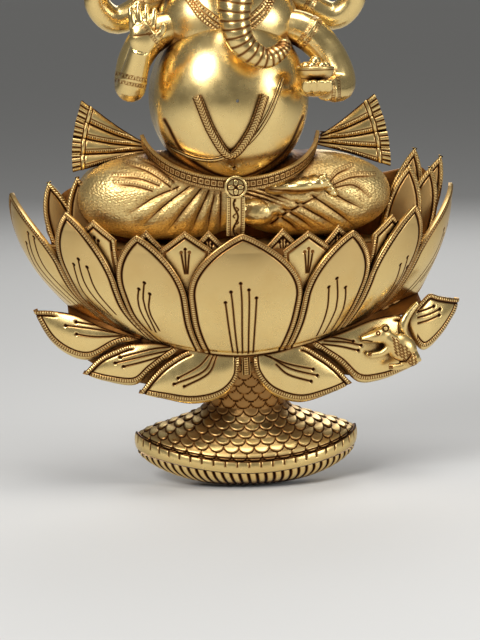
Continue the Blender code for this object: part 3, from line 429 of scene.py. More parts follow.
class Strokes:
    """Heights, and patina with painted shade, over a set of flat places, which chasing tools add to."""

    def __init__(self, flat):
        self.flat = np.array(flat, float)
        self.height = np.zeros(len(self.flat))
        self.patina_and_shade = np.zeros(len(self.flat))

    def darken(self, amount):
        self.patina_and_shade = np.maximum(self.patina_and_shade, amount)

    def cut(self, gap, depth, half, halo, dark=1.0):
        """A groove where the gap is zero, with patina over a width of its own."""
        self.height -= depth * bell(gap, half)
        self.darken(dark * bell(gap, halo))

    def groove(self, line, half=0.6 * MM, depth=0.5 * MM, dark=1.0):
        gap = distance_to(self.flat, np.array(line, float))[0]
        self.cut(gap, depth, half, 1.7 * half, dark)

    def fold(self, line, half, depth, dark=0.9, line_half=0.9 * MM):
        """A soft valley with a dark line at its bottom, fading towards its far end."""
        line = np.array(line, float)
        gap, along = distance_to(self.flat, line)
        length = walked(line)[-1]
        fade = 1 - 0.6 * step(along, 0.55 * length, length)
        self.height -= depth * fade * bell(gap, half)
        self.darken(dark * fade * bell(gap, 1.2 * line_half))
        self.darken(0.35 * fade * bell(gap, 3.0 * line_half))

    def ridge(self, line, half, height):
        self.height += height * bell(distance_to(self.flat, np.array(line, float))[0], half)

    def beads(self, line, pitch=2.2 * MM, half=1.0 * MM, height=0.6 * MM, dark=0.8):
        gap, along = distance_to(self.flat, np.array(line, float))
        wave = ripple(along, pitch)
        self.height += height * bell(gap, half) * wave
        self.darken(dark * bell(gap, half * 1.25) * (1 - wave) ** 1.5)
        self.darken(dark * 0.8 * bell(gap - 1.7 * half, 0.45 * half))

    def dot(self, place, radius=1.1 * MM, depth=0.8 * MM):
        gap = np.linalg.norm(self.flat - np.array(place), axis=1)
        near = 1 - step(gap, radius * 0.55, radius * 1.25)
        self.height -= depth * near
        self.darken(near)

    def hammer(self, depth, size, dark):
        """A faintly uneven face, as a round punch leaves it."""
        across, up = self.flat.T * (2 * math.pi / size)
        dents = 0 * across
        for k in range(9):
            turn = 2.4 * k
            along = across * math.cos(turn) + up * math.sin(turn)
            dents += np.sin(along * (1 + 0.13 * k) + 1.7 * k) / 3
        self.height -= depth * np.clip(dents, -1, 1)
        self.darken(dark * step(dents, 0.35, 1.1))

    def stamens(self, lines, half=0.55 * MM, head=1.9 * MM):
        for line in lines:
            line = spline(line, 10) if len(line) > 2 else np.array(line, float)
            self.groove(line, half, 0.45 * MM, 0.95)
            self.dot(line[0], head)

    def milled_rim(self, edge, start=1.2 * MM, width=3.8 * MM, pitch=2.5 * MM, lift=0.5 * MM):
        """A raised rim with fine ticks across it, and an engraved line just inside."""
        gap, along = distance_to(self.flat, edge)
        band = step(gap, start - 0.4 * MM, start + 0.4 * MM)
        band *= 1 - step(gap, start + width - 0.5 * MM, start + width)
        tick = ripple(along, pitch) ** 2
        self.height += band * (lift - 0.55 * MM * tick)
        self.darken(0.62 * band * tick)
        self.cut(gap - (start + width + 0.9 * MM), 0.8 * MM, 1.0 * MM, 1.25 * MM)
        self.darken(0.6 * bell(gap - start, 0.6 * MM))
        return gap

    def round_edge(self, gap, radius):
        inside = 1 - np.clip(gap / radius, 0, 1)
        self.height -= radius * (1 - np.sqrt(1 - 0.92 * inside ** 2))

    def beaded_edges(self, half_width, lift, dark, line_at):
        """A row of beads along both edges of a strap, each with a dark line beside it."""
        along, across = self.flat.T
        wave = ripple(along, BEAD_PITCH)
        for edge in (-half_width, half_width):
            bead = bell(across - edge, 0.9 * MM)
            self.height += lift * bead * wave
            self.darken(dark * bead * (1 - wave) ** 1.5)
            self.darken(0.9 * bell(across - edge * line_at, 0.5 * MM))


# ---------------------------------------------------------------- meshes
def add(name, data):
    """Puts a mesh, lamp or camera in the scene."""
    item = bpy.data.objects.new(name, data)
    bpy.context.scene.collection.objects.link(item)
    return item


def to_mesh(bm, name):
    mesh = bpy.data.meshes.new(name)
    bm.to_mesh(mesh)
    bm.free()
    return mesh


def bridge(bm, first, second):
    """Faces all round between two rings of vertices."""
    for k in range(len(first)):
        after = (k + 1) % len(first)
        bm.faces.new((first[k], first[after], second[after], second[k]))


def quads(index):
    """The corners of every cell of a grid of vertex numbers."""
    corners = (index[:-1, :-1], index[:-1, 1:], index[1:, 1:], index[1:, :-1])
    return np.stack(corners, -1).reshape(-1, 4).tolist()


def put(name, mesh, material, nodes, body="idol"):
    """Places a finished piece: its material, the CAD nodes it stands for and its body."""
    piece = add(name, mesh)
    mesh.materials.clear()
    mesh.materials.append(material)
    mesh.shade_smooth()
    mesh.set_sharp_from_angle(angle=math.radians(50))
    if nodes:
        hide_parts(*nodes)
    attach(piece, body)
    return piece


def paint(mesh, patina_and_shade):
    layer = mesh.attributes.new("patina_and_shade", "FLOAT", "POINT")
    layer.data.foreach_set("value", np.clip(patina_and_shade, 0, 1).astype(np.float32))


class Skin(Strokes):
    """A casting's face as a grid of points, which strokes shape before it gets its thickness."""

    def __init__(self, points, outward, flat=None, wrap=False):
        points = np.array(points, float)
        if wrap:
            across = np.roll(points, -1, axis=1) - np.roll(points, 1, axis=1)
        else:
            across = np.gradient(points, axis=1)
        normal = np.cross(across, np.gradient(points, axis=0))
        length = np.linalg.norm(normal, axis=2, keepdims=True)
        normal = normal / np.maximum(length, 1e-15)
        for k in (0, -1):
            neighbour = 1 if k == 0 else -2
            flawed = length[k, :, 0] < 1e-3 * np.median(length)
            normal[k, flawed] = normal[neighbour, flawed]
        if (normal * outward).sum() < 0:
            points = points[:, ::-1]
            normal = -normal[:, ::-1]
            flat = None if flat is None else flat[:, ::-1]
        self.points = points
        self.normal = normal
        self.wrap = wrap
        self.flat_grid = self.unrolled() if flat is None else flat
        super().__init__(self.flat_grid.reshape(-1, 2))

    def unrolled(self):
        """Lengths across and up the face, measured from the foot of its middle line."""
        run = np.linalg.norm(np.diff(self.points, axis=1), axis=2)
        run = np.hstack([np.zeros((len(run), 1)), np.cumsum(run, axis=1)])
        middle = run.shape[1] // 2
        rise = walked(self.points[:, middle])[:, None]
        return np.dstack([run - run[:, middle:middle + 1], rise + 0 * run])

    def near(self, point):
        """The flat place of the grid point nearest to a point in space."""
        gap = np.linalg.norm(self.points - np.array(point), axis=2)
        return self.flat_grid[np.unravel_index(gap.argmin(), gap.shape)]

    def sides(self, every=3):
        """The outline up one side of the grid and down the other, leaving out its foot."""
        return np.vstack([self.flat_grid[::every, 0], self.flat_grid[-1:, 0],
                          self.flat_grid[::-every, -1], self.flat_grid[:1, -1]])

    def mesh(self, thickness, coarse=8):
        """The closed casting: this face in full, and a coarser back joined to its edges."""
        rows, columns = self.points.shape[:2]
        shift = self.height.reshape(rows, columns, 1)
        front = self.points + self.normal * shift
        back = (self.points - self.normal * thickness)[::coarse, ::coarse]
        index = np.arange(rows * columns).reshape(rows, columns)
        behind = rows * columns + np.arange(back.shape[0] * back.shape[1]).reshape(back.shape[:2])
        if self.wrap:
            index = np.hstack([index, index[:, :1]])
            behind = np.hstack([behind, behind[:, :1]])
        faces = quads(index) + quads(behind.T)
        edges = [(index[0], behind[0], True), (index[-1], behind[-1], False)]
        if not self.wrap:
            edges += [(index[:, 0], behind[:, 0], False), (index[:, -1], behind[:, -1], True)]
        for fine, rough, turned in edges:
            for k in range(len(rough) - 1):
                face = [*fine[k * coarse:(k + 1) * coarse + 1].tolist(), int(rough[k + 1]), int(rough[k])]
                faces.append(face[::-1] if turned else face)
        mesh = bpy.data.meshes.new("skin")
        points = np.vstack([front.reshape(-1, 3), back.reshape(-1, 3)])
        mesh.from_pydata(points.tolist(), [], faces)
        mesh.update()
        paint(mesh, np.concatenate([self.patina_and_shade, np.full(len(points) - len(self.patina_and_shade), BACK_PATINA)]))
        return mesh

    def cast(self, name, thickness, material, nodes, coarse=8):
        return put(name, self.mesh(thickness, coarse), material, nodes)


def shares(count, low=0.0, high=1.0):
    return np.linspace(low, high, count + 1)


# ---------------------------------------------------------------- the pedestal
def bowl_seam(angle):
    return BOWL_SEAM + BOWL_SEAM_RISE * np.abs(np.sin(angle)) ** 1.7


def bowl_point(angle, height, inset=0.0):
    """A point of the lotus cup: angle in radians from the front, height in metres."""
    share = np.clip((height - bowl_seam(angle)) / BOWL_SWELL_HEIGHT, 0, 1)
    swell = 1 - (1 - share) ** 2
    fuller = FULLER_RIGHT * step(angle, math.radians(55), math.radians(88)) * (1 - share) ** 3
    half_width = BOWL_FOOT_HALF_WIDTH + (BOWL_HALF_WIDTH - BOWL_FOOT_HALF_WIDTH) * swell - inset + fuller
    depth = BOWL_FOOT_DEPTH + (BOWL_DEPTH - BOWL_FOOT_DEPTH) * swell - inset
    return np.stack([half_width * np.sin(angle), -depth * np.cos(angle), height + 0 * angle], -1)


def pedestal_point(angle, rise):
    """rise 0 is the top of the ticked band, 1 the neck, 2 the underside of the cup."""
    band = BAND_TOP + BAND_RISE * np.sin(angle) ** 2
    lower = np.minimum(rise, 1)
    upper = np.maximum(rise - 1, 0)
    flare = np.cos(math.pi / 2 * np.maximum(lower, 0)) ** 2
    half_width = (NECK_HALF_WIDTH + (PEDESTAL_HALF_WIDTH - NECK_HALF_WIDTH) * flare
                  + (BOWL_FOOT_HALF_WIDTH - 0.012 - NECK_HALF_WIDTH) * upper ** 1.5)
    depth = (NECK_DEPTH + (PEDESTAL_DEPTH - 0.002 - NECK_DEPTH) * flare
             + (BOWL_FOOT_DEPTH - 0.013 - NECK_DEPTH) * upper)
    height = band + (NECK_HEIGHT - band) * lower + (bowl_seam(angle) - 0.003 - NECK_HEIGHT) * upper
    return np.stack([PEDESTAL_X + half_width * np.sin(angle), -depth * np.cos(angle), height], -1)


def scales(skin, width=15.4 * MM, pitch=8.2 * MM, start=4.6 * MM):
    """Rows of round scales whose free edges point down, each row over the one below, with painted shade on
    the upper part of each scale and over the highest rows, under the cup.
    """
    across, up = skin.flat[:, 0], skin.flat[:, 1]
    radius = 0.56 * width
    row_of = np.floor((up - start) / pitch).astype(int)
    done = np.zeros(len(up), bool)
    skin.darken(0.60)
    for ahead in (2, 1, 0, -1):
        row = row_of + ahead
        centre_up = start + (row + 0.45) * pitch + radius * 0.2
        offset = np.where(row % 2 == 0, 0.0, 0.5) * width
        wobble = 0.35 * MM * np.sin(row * 2.3)
        centre_across = np.round((across - offset) / width) * width + offset + wobble
        gap = np.hypot(across - centre_across, up - centre_up)
        chosen = (gap < radius) & ~done & (row >= 0)
        done |= chosen
        edge = (radius - gap)[chosen]
        slope = np.clip((centre_up - up)[chosen] / radius, -0.4, 1)
        skin.height[chosen] += (0.3 + 1.7 * np.maximum(slope, 0)) * MM * step(edge, 0, 2.2 * MM)
        # Painted shade on each scale's upper part, where it tucks under the row above; the dark outline is
        # patina.
        skin.patina_and_shade[chosen] = np.maximum(bell(edge, 1.5 * MM), 0.30 * step(-slope, -0.45, 0.10))
    # Painted shade over the highest rows, on the neck under the cup.
    skin.darken(0.42 * step(up, 36 * MM, 58 * MM))


def make_pedestal():
    """The scaled foot, the ticked band round its edge and the ribbed keel below."""
    angles = np.radians(shares(400, -90, 90))
    side, front = np.sin(angles), np.cos(angles)
    skirt_drop = 0.10
    rises = np.concatenate([shares(8, -skirt_drop, 0)[:-1], shares(100), shares(44, 1, 2.1)[1:]])[:, None]
    grid = pedestal_point(angles, rises)
    skirt = 0.0025 * np.clip(-rises / skirt_drop, 0, 1)
    grid[..., 0] -= skirt * side
    grid[..., 1] += skirt * front
    foot = Skin(grid, (0, -1, 0))
    foot.flat[:, 1] -= foot.flat_grid[8, 200, 1]
    scales(foot)
    for line in (3.2 * MM, 5.4 * MM):
        foot.cut(foot.flat[:, 1] - line, 0.6 * MM, 0.7 * MM, 0.9 * MM)
    foot.cast("scaled_foot", 0.004, CHASED, ["scaled_pedestal"])

    # The band hangs from the foot's edge and rises into a lip at each end.
    top = pedestal_point(angles, 0.0)
    turned_in = 0.0035 * side ** 4
    lip = 0.0024 + 0.0062 * np.abs(side) ** 7
    grid = []
    for share in shares(24):
        drop = (0.0090 + lip) * share - lip
        swell = 0.0010 + 0.0018 * math.sin(math.pi * min(1.0, share * 0.95 + 0.05)) ** 0.7
        grid.append(top + np.stack([swell * side, -swell * front, -drop - turned_in], -1))
    band = Skin(grid, (0, -1, 0))
    along, up = band.flat.T
    pitch = 12.0 * MM
    tick = np.abs((along / pitch) % 1 - 0.5) * pitch
    lower_half = 1 - step(up, 5.6 * MM, 6.6 * MM)
    band.height -= 0.9 * MM * bell(tick, 0.8 * MM) * lower_half
    band.darken(0.95 * bell(tick, 0.9 * MM) * lower_half)
    band.darken(0.9 * (1 - step(up, 0.2 * MM, 1.6 * MM)))
    band.cast("ticked_foot_band", 0.003, CHASED, ["ticked_band"])

    # The keel is a boat's bottom with slanting ribs.
    rim = top[:, 2] - 0.0100 - 0.0060 * side ** 4
    grid = []
    for share in shares(32):
        turn = math.pi / 2 * share
        shrink = 1 - 0.40 * (1 - math.cos(turn))
        height = rim * (1 - 0.999 * math.sin(turn) * np.sqrt(np.abs(front)))
        x = PEDESTAL_X + (top[:, 0] - PEDESTAL_X) * shrink
        grid.append(np.stack([x, top[:, 1] * shrink, np.maximum(height, 0.0012)], -1))
    keel = Skin(grid, (0, -1, -1))
    slant, pitch = 0.22, 8.8 * MM
    fall = keel.points[:1, :, 2] - keel.points[:, :, 2]
    wave = np.abs(((walked(keel.points[0]) + slant * fall) / pitch) % 1 - 0.5).reshape(-1) * 2
    keel.height += 1.8 * MM * (np.sqrt(wave) - 1)
    keel.darken(0.95 * (1 - step(wave, 0.16, 0.58)))
    keel.cast("ribbed_foot_keel", 0.003, CHASED, ["ribbed_keel"])


# ---------------------------------------------------------------- the lotus
def make_cup_petal(name, low_angle, high_angle, tip_angle, tip_height):
    """A petal of the cup, widest below its middle and pointed like a Gothic arch."""
    middle = math.radians(low_angle + high_angle) / 2
    lean = math.radians(tip_angle) - middle
    share = shares(208)[:, None]
    across = shares(144, -1, 1)[None, :]
    drawn_in = (1 - np.minimum(1, share / DRAWN_IN)) ** 2
    low, high = (math.radians(edge) + math.radians(foot - edge) * drawn_in
                 for edge, foot in zip((low_angle, high_angle), CUP_FEET[name]))
    below_tip = np.clip((1 - share) / (1 - WIDEST), 0, 1)
    spread = np.where(share < WIDEST, 1.0, np.sin(math.pi / 2 * below_tip ** 0.8))
    offset = np.where(share < WIDEST, 0.0, lean * (1 - below_tip) ** 1.3)
    angle = (low + high) / 2 + offset + (high - low) / 2 * 1.012 * np.maximum(spread, 0.012) * across
    seam = bowl_seam(angle) - 0.0035
    height = seam + (tip_height - seam) * share
    cushion = 0.003 * (1 - across ** 2) * np.sin(math.pi * np.minimum(1.0, share + 0.15))
    skin = Skin(bowl_point(angle, height, -cushion), (math.sin(middle), -math.cos(middle), 0))
    gap = skin.milled_rim(skin.sides())
    skin.round_edge(gap, 1.4 * MM)
    up = skin.flat[:, 1]
    # Painted shade and reflection: the petal is darkened towards its tip, as its upper part reflects the
    # darker surroundings.
    skin.darken(0.20 * step(up / up.max(), 0.20, 0.90))
    skin.height -= 3.2 * MM * (1 - step(up, 0.0, 9 * MM)) ** 2
    skin.darken(0.9 * (1 - step(up, 0.3 * MM, 2.4 * MM)))
    lines = []
    for line in CUP_STAMENS[name]:
        places = spline(line, 8) if len(line) > 2 else np.array(line)
        lines.append([skin.near(bowl_point(np.radians(a), z)) for a, z in places])
    skin.stamens(lines)
    skin.cast(name + "_cast", PETAL_WALL - 0.0006, POLISHED, [name])


def make_standing_petal(name, middle_angle, tip_height, half_width, inset):
    """A small petal with a chevron tip that stands inside the cup."""
    middle = math.radians(middle_angle)
    tall = tip_height - STANDING_FOOT
    half = half_width / (BOWL_HALF_WIDTH - inset)
    share = shares(104)[:, None]
    across = shares(80, -1, 1)[None, :]
    closing = tall * (1 - share) / TIP_LENGTH
    spread = np.maximum(np.minimum(1.0, closing), 0.015)
    angle = middle + half * spread * across
    height = STANDING_FOOT + tall * share + 0 * angle
    cushion = 0.0012 * (1 - across ** 2) * np.sin(math.pi * np.minimum(1.0, share + 0.2))
    skin = Skin(bowl_point(angle, height, inset - cushion), (math.sin(middle), -math.cos(middle), 0))
    gap = skin.milled_rim(skin.sides(2), start=0.9 * MM, width=3.6 * MM, pitch=2.3 * MM, lift=0.6 * MM)
    skin.round_edge(gap, 1.0 * MM)
    top = skin.flat[:, 1].max()
    spacing, first = (4.0 * MM, 17.5 * MM) if half_width > 0.025 else (3.2 * MM, 10.5 * MM)
    for k in (-1, 0, 1):
        head = (k * spacing, top - first - 3.0 * MM * abs(k))
        skin.stamens([[head, (k * spacing * 0.35, top - first - 24 * MM)]], half=0.6 * MM, head=1.8 * MM)
    skin.cast(name + "_cast", 0.0028, CHASED, [name])


def front_of_petals(x):
    return PETAL_FRONT * np.sqrt(1 - (x / PETAL_SWEEP) ** 2)


def make_drooping_petal(name, shape):
    """A drooping petal with a milled rim and, below it, a plain rolled under-edge."""
    rows, columns = 176, 80
    upper = spline([shape["root"], *shape["upper"], shape["tip"]], rows)
    lower = spline([shape["root"], *shape["lower"], shape["tip"]], rows)
    rise = np.sin(math.pi * shares(rows))[:, None]
    share = shares(columns)[None, :]
    x, z = ((lower[:, None, k] + (upper - lower)[:, None, k] * share) for k in (0, 1))
    width = np.linalg.norm(upper - lower, axis=1)[:, None]
    roll = np.clip(1 - width * share / (6.5 * MM), 0, 1) * step(width, 0.006, 0.025)
    bulge = 0.005 * rise * (1 - (2 * share - 1) ** 2)
    y = -front_of_petals(x) - bulge - 0.0012 * rise + 0.0050 * (1 - np.sqrt(1 - 0.97 * roll ** 2))
    skin = Skin(np.dstack([x, y, z]), (0, -1, 0), flat=np.dstack([x, z]))
    top_edge = upper[::3]
    gap = skin.milled_rim(top_edge, start=1.0 * MM, width=3.2 * MM)
    along = distance_to(skin.flat, top_edge)[1]
    clear = step(along / along.max(), shape["rim_from"] - 0.03, shape["rim_from"] + 0.03)
    skin.height *= clear
    skin.patina_and_shade *= clear
    # Painted shade along the upper edge where it runs under the neighbouring petal.
    skin.darken((1 - clear) * bell(gap, 2.2 * MM))
    skin.round_edge(gap, 1.2 * MM)
    # The lower rim lies above the rolled edge, and its gap is negative below it.
    bottom = lower[::3] + 4.2 * MM * rise[::3] * (0.0, 1.0)
    way = math.copysign(1, bottom[-1, 0] - bottom[0, 0])
    across, up = skin.flat.T
    rim_gap, along = distance_to(skin.flat, bottom)
    rim_gap = rim_gap * np.sign(up - np.interp(across * way, bottom[:, 0] * way, bottom[:, 1]))
    band = step(rim_gap, -0.4 * MM, 0.4 * MM) * (1 - step(rim_gap, 2.9 * MM, 3.4 * MM))
    away = np.maximum(step(gap, 3.5 * MM, 5.5 * MM), 1 - clear)
    tick = ripple(along, 2.5 * MM) ** 2
    skin.height += band * away * (0.4 * MM - 0.6 * MM * tick)
    skin.darken(0.85 * band * tick * away)
    inner = bell(rim_gap - 4.2 * MM, 0.9 * MM) * away
    skin.height -= 0.7 * MM * inner
    skin.darken(inner)
    skin.darken(0.5 * bell(rim_gap, 0.5 * MM) * away)
    # The stamens stay inside the rims.
    height, patina_and_shade = skin.height.copy(), skin.patina_and_shade.copy()
    skin.stamens(shape["stamens"], half=0.65 * MM)
    inside = step(rim_gap, 3.2 * MM, 5.0 * MM) * away
    skin.height = height + (skin.height - height) * inside
    skin.patina_and_shade = patina_and_shade + (skin.patina_and_shade - patina_and_shade) * inside
    skin.cast(name + "_cast", 0.0055, POLISHED, [name])


def make_underside():
    """The underside of the cup and the webs between drooping petals, both dark fill painted as shade, and
    the ribbed stem.
    """
    angle = np.radians(shares(160, -85, 85))
    seam = bowl_seam(angle)
    top = bowl_point(angle, seam + 0.001, 0.002)
    x = top[:, 0]
    low = np.stack([x, 0.0045 - front_of_petals(x), seam - 0.0105], -1)
    share = shares(16)[:, None, None]
    under = Skin(low + (top - low) * share, (0, -1, -0.3))
    # Painted shade: the underside is darkened all over, as the shade under the cup.
    under.darken(0.50)
    under.cast("cup_underside", 0.002, AGED_AND_SHADED, [])

    for upper_name, lower_name, high_end, low_end in (
            ("lower_petal_left_outer", "lower_petal_left_middle", 0.62, 0.86),
            ("lower_petal_left_middle", "lower_petal_left_inner", 0.80, 0.88),
            ("lower_petal_right_middle", "lower_petal_right_inner", 0.60, 0.88)):
        high, low = DROOPING_PETALS[upper_name], DROOPING_PETALS[lower_name]
        edges = []
        for shape, side, end, push in ((high, "lower", high_end, 0.0045),
                                       (low, "upper", low_end, -0.0040)):
            line = spline([shape["root"], *shape[side], shape["tip"]], 100)[:int(100 * end)]
            line = line[np.linspace(0, len(line) - 1, 81).astype(int)]
            edges.append(line + (0.0, push))
        flat = edges[1][None] + (edges[0] - edges[1])[None] * shares(16)[:, None, None]
        x, z = flat[..., 0], flat[..., 1]
        web = Skin(np.dstack([x, 0.0062 - front_of_petals(x), z]), (0, -1, 0))
        # Painted shade: each web fills the gap between two petals and is darkened as the shadow there.
        web.darken(0.42)
        web.cast(lower_name.replace("lower_petal", "petal_web"), 0.002, CHASED, [])

    line = spline([(0.0020, -0.0735, 0.1405), (0.0030, -0.0700, 0.1290), (0.0040, -0.0640, 0.1150)], 72)
    stem = strap(line, np.repeat([[0.0, -1.0, 0.0]], len(line), axis=0), 8.0 * MM)
    along, across = stem.flat.T
    ribs = ripple(along, 2.6 * MM)
    stem.height += 0.8 * MM * bell(across, 2.2 * MM) * ribs
    stem.darken(0.7 * bell(across, 2.0 * MM) * (1 - ribs))
    stem.darken(0.95 * bell(np.abs(across) - 2.8 * MM, 0.8 * MM))
    stem.cast("ribbed_stem", 0.003, CHASED, [])


def make_edge_ridge():
    """The turned-up end of the mouse's petal, a smooth ridge in front of the outer petal."""
    route = [(0.1800, -0.0530, 0.1805), (0.1690, -0.0555, 0.1690), (0.1640, -0.0560, 0.1585),
             (0.1655, -0.0555, 0.1490), (0.1715, -0.0540, 0.1385), (0.1775, -0.0515, 0.1280),
             (0.1830, -0.0490, 0.1205)]
    radii = [0.0026, 0.0042, 0.0052, 0.0052, 0.0046, 0.0034, 0.0018]
    ridge = Melted([tube(route, radii, 40, 16)], 0.0009, 2)
    gap = distance_to(ridge.flat, spline(np.array(route)[:, [0, 2]], 30))[0]
    # Painted shade on the ridge's flanks, where it turns away from the light and meets the petals beside
    # it.
    ridge.darken(0.6 * step(gap, 3.4 * MM, 5.0 * MM))
    ridge.cast("petal_edge_ridge", POLISHED, [])


def make_back_petal(name, middle, width, tip_height, lean, depth):
    """An upright pointed petal against the wall, with a rope rim round a flat panel."""
    foot = SEAT_TOP + 0.0004
    slope = math.tan(math.radians(lean))
    share = shares(96)[:, None]
    across = shares(56, -1, 1)[None, :]
    spread = np.maximum(np.sin(math.pi / 2 * np.minimum(1.0, 1.25 * (1 - share)) ** 0.8), 0.02)
    height = foot + (tip_height - foot) * share + 0 * across
    x = middle + slope * (height - tip_height) + width / 2 * spread * across
    y = -depth - 0.002 * (1 - across ** 2) + 0 * share
    skin = Skin(np.dstack([x, y, height]), (0, -1, 0), flat=np.dstack([x, height]))
    gap, along = distance_to(skin.flat, skin.sides())
    twist = ripple(along + 0.8 * gap, 3.0 * MM)
    rope = bell(gap - 2.4 * MM, 1.8 * MM)
    skin.height += rope * (0.9 * MM * twist + 0.5 * MM)
    skin.darken(0.62 * rope * (1 - twist) ** 1.5)
    skin.cut(gap - 5.3 * MM, 0.8 * MM, 1.1 * MM, 1.1 * MM)
    skin.darken(0.34 * step(gap, 5.0 * MM, 7.0 * MM))
    skin.round_edge(gap, 1.0 * MM)
    skin.cast(name + "_cast", 0.0028, CHASED, [name])


def make_liner():
    """The cup's inner wall, brazed to the drooping petals below and the seat above."""
    angle = np.radians(shares(240, -89, 89))[None, :]
    share = shares(64)[:, None]
    low = bowl_seam(angle) - 0.0065
    skin = Skin(bowl_point(angle, low + (LINER_TOP - low) * share, LINER_INSET + 0.0002), (0, -1, 0))
    # Painted shade: the inner wall is darkened all over, as the shade inside the cup and in the gaps
    # between its petals.
    skin.darken(0.55)
    skin.cast("cup_liner_cast", 0.003, AGED_AND_SHADED, ["cup_liner"])

    # The plate against the wall behind the legs, darkened all over as painted shade where it shows around
    # them.
    plate = [(-0.120, 0.205), (-0.186, 0.252), (-0.176, 0.292), (-0.140, 0.306), (-0.060, 0.300),
             (0.0, 0.296), (0.060, 0.300), (0.150, 0.308), (0.196, 0.312), (0.206, 0.262), (0.130, 0.205)]
    edge = spline([*plate, plate[0]], 176)[:-1]
    middle = np.array((0.0, 0.262))
    reach = shares(24, 0.02, 1.0)[:, None, None]
    flat = middle + (edge - middle)[None, :, :] * reach
    x, z = flat[..., 0], flat[..., 1]
    backing = Skin(np.dstack([x, 0 * x - 0.0050, z]), (0, -1, 0), flat=flat, wrap=True)
    gap = distance_to(backing.flat, np.vstack([edge[::3], edge[:1]]))[0]
    backing.round_edge(gap, 1.5 * MM)
    backing.darken(0.5)
    backing.cast("backing_plate", 0.004, AGED_AND_SHADED, [])


def make_lotus():
    for name, shape in CUP_PETALS.items():
        make_cup_petal(name, *shape)
    for petals, half_width, inset in ((INNER_PETALS, 0.027, LINER_INSET),
                                      (SMALL_PETALS, 0.018, LINER_INSET + 0.004)):
        for name, (angle, tip) in petals.items():
            make_standing_petal(name, angle, tip, half_width, inset)
    for name, shape in DROOPING_PETALS.items():
        make_drooping_petal(name, shape)
    for name, shape in BACK_PETALS.items():
        make_back_petal(name, *shape)
    make_underside()
    make_edge_ridge()
    make_liner()
    for name in ("seat_plate", "pedestal_back", "hanger_lug"):
        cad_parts[name].data.materials.clear()
        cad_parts[name].data.materials.append(AGED_AND_SHADED)


# ---------------------------------------------------------------- melted castings
def tube(points, radii, count=16, sides=14):
    """A tapered round bar along a smooth route, with closed ends."""
    route = spline(points, count)
    sizes = spline(np.array(radii, float)[:, None], count)[:, 0].tolist()
    bm = bmesh.new()
    side = Vector((0.13, 1, 0.07))
    rings = []
    for i, (point, size) in enumerate(zip(route, sizes)):
        ahead = Vector(route[min(i + 1, count)] - route[max(i - 1, 0)]).normalized()
        side = (side - ahead * side.dot(ahead)).normalized()
        other = ahead.cross(side)
        turns = [2 * math.pi * k / sides for k in range(sides)]
        rings.append([bm.verts.new(Vector(point) + size * (side * math.cos(t) + other * math.sin(t)))
                      for t in turns])
    for first, second in zip(rings, rings[1:]):
        bridge(bm, first, second)
    bm.faces.new(rings[0][::-1])
    bm.faces.new(rings[-1])
    return bm


def blob(centre, axes, turn=0.0):
    """An ellipsoid, turned in the plane of the wall by an angle in degrees."""
    bm = bmesh.new()
    bmesh.ops.create_uvsphere(bm, u_segments=28, v_segments=18, radius=1.0)
    c, s = math.cos(math.radians(turn)), math.sin(math.radians(turn))
    for vertex in bm.verts:
        x, y, z = (a * v for a, v in zip(axes, vertex.co))
        vertex.co = Vector((centre[0] + c * x - s * z, centre[1] + y, centre[2] + s * x + c * z))
    return bm


class Melted(Strokes):
    """Tubes and blobs melted into one smooth casting, which strokes shape as seen from the front."""

    def __init__(self, parts, voxel, smooth=3, clip_back=None):
        bm = bmesh.new()
        for part in parts:
            loose = to_mesh(part, "loose")
            bm.from_mesh(loose)
            bpy.data.meshes.remove(loose)
        bm.normal_update()
        maker = add("maker", to_mesh(bm, "raw"))
        remesh = maker.modifiers.new("melt", "REMESH")
        remesh.mode = "VOXEL"
        remesh.voxel_size = voxel
        soften = maker.modifiers.new("soften", "SMOOTH")
        soften.factor = 0.5
        soften.iterations = smooth
        bpy.context.view_layer.update()
        graph = bpy.context.evaluated_depsgraph_get()
        self.mesh = bpy.data.meshes.new_from_object(maker.evaluated_get(graph))
        bpy.data.objects.remove(maker, do_unlink=True)
        count = len(self.mesh.vertices)
        self.points = np.zeros(count * 3)
        self.mesh.vertices.foreach_get("co", self.points)
        self.points = self.points.reshape(-1, 3)
        if clip_back is not None:
            self.points[:, 1] = np.minimum(self.points[:, 1], clip_back)
        self.normal = np.zeros(count * 3)
        self.mesh.vertex_normals.foreach_get("vector", self.normal)
        self.normal = self.normal.reshape(-1, 3)
        super().__init__(self.points[:, [0, 2]])

    def cast(self, name, material, nodes, body="idol", front_only=True):
        facing = step(-self.normal[:, 1], -0.1, 0.3) if front_only else 1.0
        points = self.points + self.normal * (self.height * facing)[:, None]
        self.mesh.vertices.foreach_set("co", points.reshape(-1))
        self.mesh.update()
        paint(self.mesh, self.patina_and_shade * facing)
        return put(name, self.mesh, material, nodes, body)


